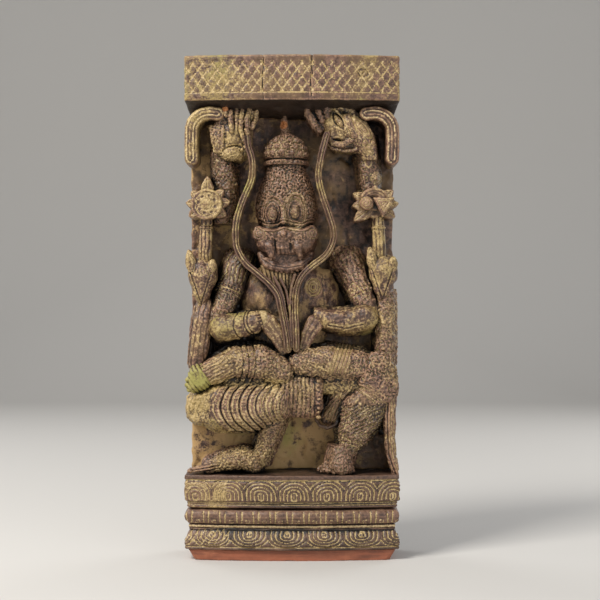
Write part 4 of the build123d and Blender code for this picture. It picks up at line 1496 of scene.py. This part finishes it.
def left_foot():
    toes = [((-18, 7 + 6 * i, -6), (-43 + 1.5 * i, 6 + 7 * i, -9.5), 4.0 - 0.2 * i) for i in range(5)]
    c, *_ = foot(
        "left_foot", [(32, 18, -1), (20, 15, 3), (2, 15, 1), (-20, 15, -6)], [13, 12, 10.5, 8], toes
    )
    for z0, z1 in ((-3, -9), (-7, -11.5)):
        c.incise(c.beside([(-8, z0), (-40, z1)])[0], 2.0, 0.9, 0.1)
    c.curls(4.8, 1.9, mask=np.clip((c.x + 26) / 12, 0.25, 1))
    c.finish(FIGURE, rough=(5, 1.0))


def right_foot():
    toes = [((-4 - 3 * i, 12 + 3 * i, -4), (-12 - 3.4 * i, 9 + 6 * i, -10.5), 4.2) for i in range(4)]
    c, *_ = foot("right_foot", [(7, 18, 20), (5, 16, 8), (3, 14, -4)], [13, 14, 15], toes)
    c.tube([(8, 18, 2), (16, 20, -11)], [9, 6], 4)
    c.d = np.maximum(c.d, -c.half[2] - c.z + 0.3).astype(np.float32)
    c.curls(4.6, 1.2)
    c.finish(FACE, rough=(5, 0.9))


def right_thigh():
    """Shadowed inside of the bent leg, cut with long gouge strokes."""
    c, *_ = limb_member(
        "right_thigh", [(14, 15, 34), (4, 15, 12), (-10, 17, -14)], [24, 22, 15], margin=14.0
    )
    web = c.outline([(-34, 44), (30, 44), (34, 8), (8, -8), (-14, -22), (-34, -4)])
    c.add(c.prism(web, 20.0, 8.0), 6)
    c.hatch(30, 4.6, 1.6)
    # lighter at the top, darkening downward into the bend: painted shade
    c.coat_and_shade = 0.9 * unit((c.z - 2) / 12)
    c.finish(SHADE, rough=(7, 1.0))


def right_calf():
    c, s, side = limb_member(
        "right_calf", [(16, 22, 32), (1, 23, 6), (-9, 20, -16), (-18, 18, -38)],
        [21, 28, 22, 13], margin=6.0,
    )
    knee = unit((c.z - 12) / 5)
    for shift in (0, 7, 14):
        c.incise(c.z + 0.75 * c.x - 27 - shift, 1.8, 0.9, 0.8, where=knee)
        c.incise(c.z + 0.75 * c.x - 30 - shift, 1.0, 0.7, where=knee)
    c.hatch(60, 4.6, 1.6, mask=1 - knee)
    c.curls(4.8, 1.5, mask=1 - 0.5 * knee)
    bands(c, s, (72,), 1.3, 1.5, 3.8, side)
    c.coat_and_shade = -0.85 + 0.6 * knee - 0.4 * unit((c.x - 4) / 14)
    c.finish(FIGURE, rough=(6, 1.0))


# ------------------------------------------------------------------ making everything
for make in (
    capital, upper_lotus, middle_band, lower_lotus, plinth, back_board, strands,
    left_raised_arm, right_raised_arm, left_raised_hand, right_raised_hand, right_raised_thumb,
    left_upper_arm, right_upper_arm, left_forearm, right_forearm, tearing_hands,
    left_holding_arm, left_holding_hand, right_holding_arm, chakra, conch, head, crown_finial, chin_collar,
    mane, torso, lap_figure_legs, lap_figure_body, lap_figure_knee, lap_figure_shin, left_thigh, waist_pleat,
    waist_tassel, left_shin, left_foot, right_foot, right_thigh, right_calf,
):
    make()
scroll("left_scroll", -1)
scroll("right_scroll", 1)
attribute_arm("left_disc_arm", -1)
attribute_arm("right_conch_arm", 1)
elbow_leaf("left_elbow_leaf")
elbow_leaf("right_elbow_leaf")
flame_ring("chakra_flames", (-2, -5), 17, (
    (0, 35), (48, 27), (82, 28), (122, 27), (-50, 26), (-84, 27), (-122, 27),
))
flame_ring("conch_flames", (0, -5), 16, (
    (-62, 30), (-92, 28), (-128, 32), (52, 29), (86, 29), (120, 29), (0, 24),
))

shade_crevices()

for node in ("ring_staple", "hanging_ring"):
    for slot_index in range(len(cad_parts[node].data.materials)):
        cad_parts[node].data.materials[slot_index] = WIRE


# ------------------------------------------------------------------ floor, light and camera
def studio():
    """Pale floor that sweeps up far behind the panel."""
    reach, flat, bend = 4.0, 2.6, 0.9  # how far the floor goes, where its bend starts, and radius of the bend
    sweep = [(-reach, 0.0), (flat, 0.0)]
    sweep += [(flat + bend * math.sin(a), bend - bend * math.cos(a)) for a in np.linspace(0.15, math.pi / 2, 9)]
    sweep.append((3.5, reach))
    points = [(x, y, z) for y, z in sweep for x in (-reach, reach)]
    faces = [(2 * i, 2 * i + 1, 2 * i + 3, 2 * i + 2) for i in range(len(sweep) - 1)]
    me = bpy.data.meshes.new("floor")
    me.from_pydata(points, [], faces)
    me.shade_smooth()
    floor = bpy.data.objects.new("floor", me)
    bpy.context.scene.collection.objects.link(floor)
    me.materials.append(Nodes("pale_floor").surface((0.62, 0.60, 0.57, 1), 0.8))


def area_light(name, place, target, size, power, tint=(1, 1, 1)):
    data = bpy.data.lights.new(name, "AREA")
    data.size = size
    data.energy = power
    data.color = tint
    light = bpy.data.objects.new(name, data)
    light.location = place
    light.rotation_euler = Vector(np.subtract(target, place)).to_track_quat("-Z", "Y").to_euler()
    bpy.context.scene.collection.objects.link(light)


studio()
centre = [(a + b) / 2 for a, b in zip(*cad_box)]
area_light("key", (-1.2, -1.2, 2.0), centre, 0.8, 60, (1.0, 0.97, 0.92))
area_light("fill", (1.3, -2.0, 0.5), centre, 1.6, 15, (0.95, 0.97, 1.0))
area_light("back_left", (-1.5, 1.4, 1.6), centre, 1.2, 14)
area_light("back_right", (1.5, 1.4, 1.2), centre, 1.2, 12)

world = bpy.data.worlds.new("studio_air")
world.use_nodes = True
sky = world.node_tree.nodes["Background"]
sky.inputs["Color"].default_value = (0.9, 0.92, 0.95, 1)
sky.inputs["Strength"].default_value = 0.36
bpy.context.scene.world = world
bpy.context.scene.view_settings.view_transform = "Standard"

LENS = 85.0
SENSOR = 36.0
VIEW_WIDTH = 0.720  # of the picture, at the front of the panel
VIEW_MIDDLE = (0.0096, 0.3144)  # x and z of the point that the camera faces
camera_data = bpy.data.cameras.new("camera")
camera_data.lens = LENS
camera_data.sensor_width = SENSOR
camera = bpy.data.objects.new("camera", camera_data)
camera.location = (VIEW_MIDDLE[0], cad_box[0][1] - VIEW_WIDTH * LENS / SENSOR, VIEW_MIDDLE[1])
camera.rotation_euler = (math.pi / 2, 0, 0)
bpy.context.scene.collection.objects.link(camera)
bpy.context.scene.camera = camera
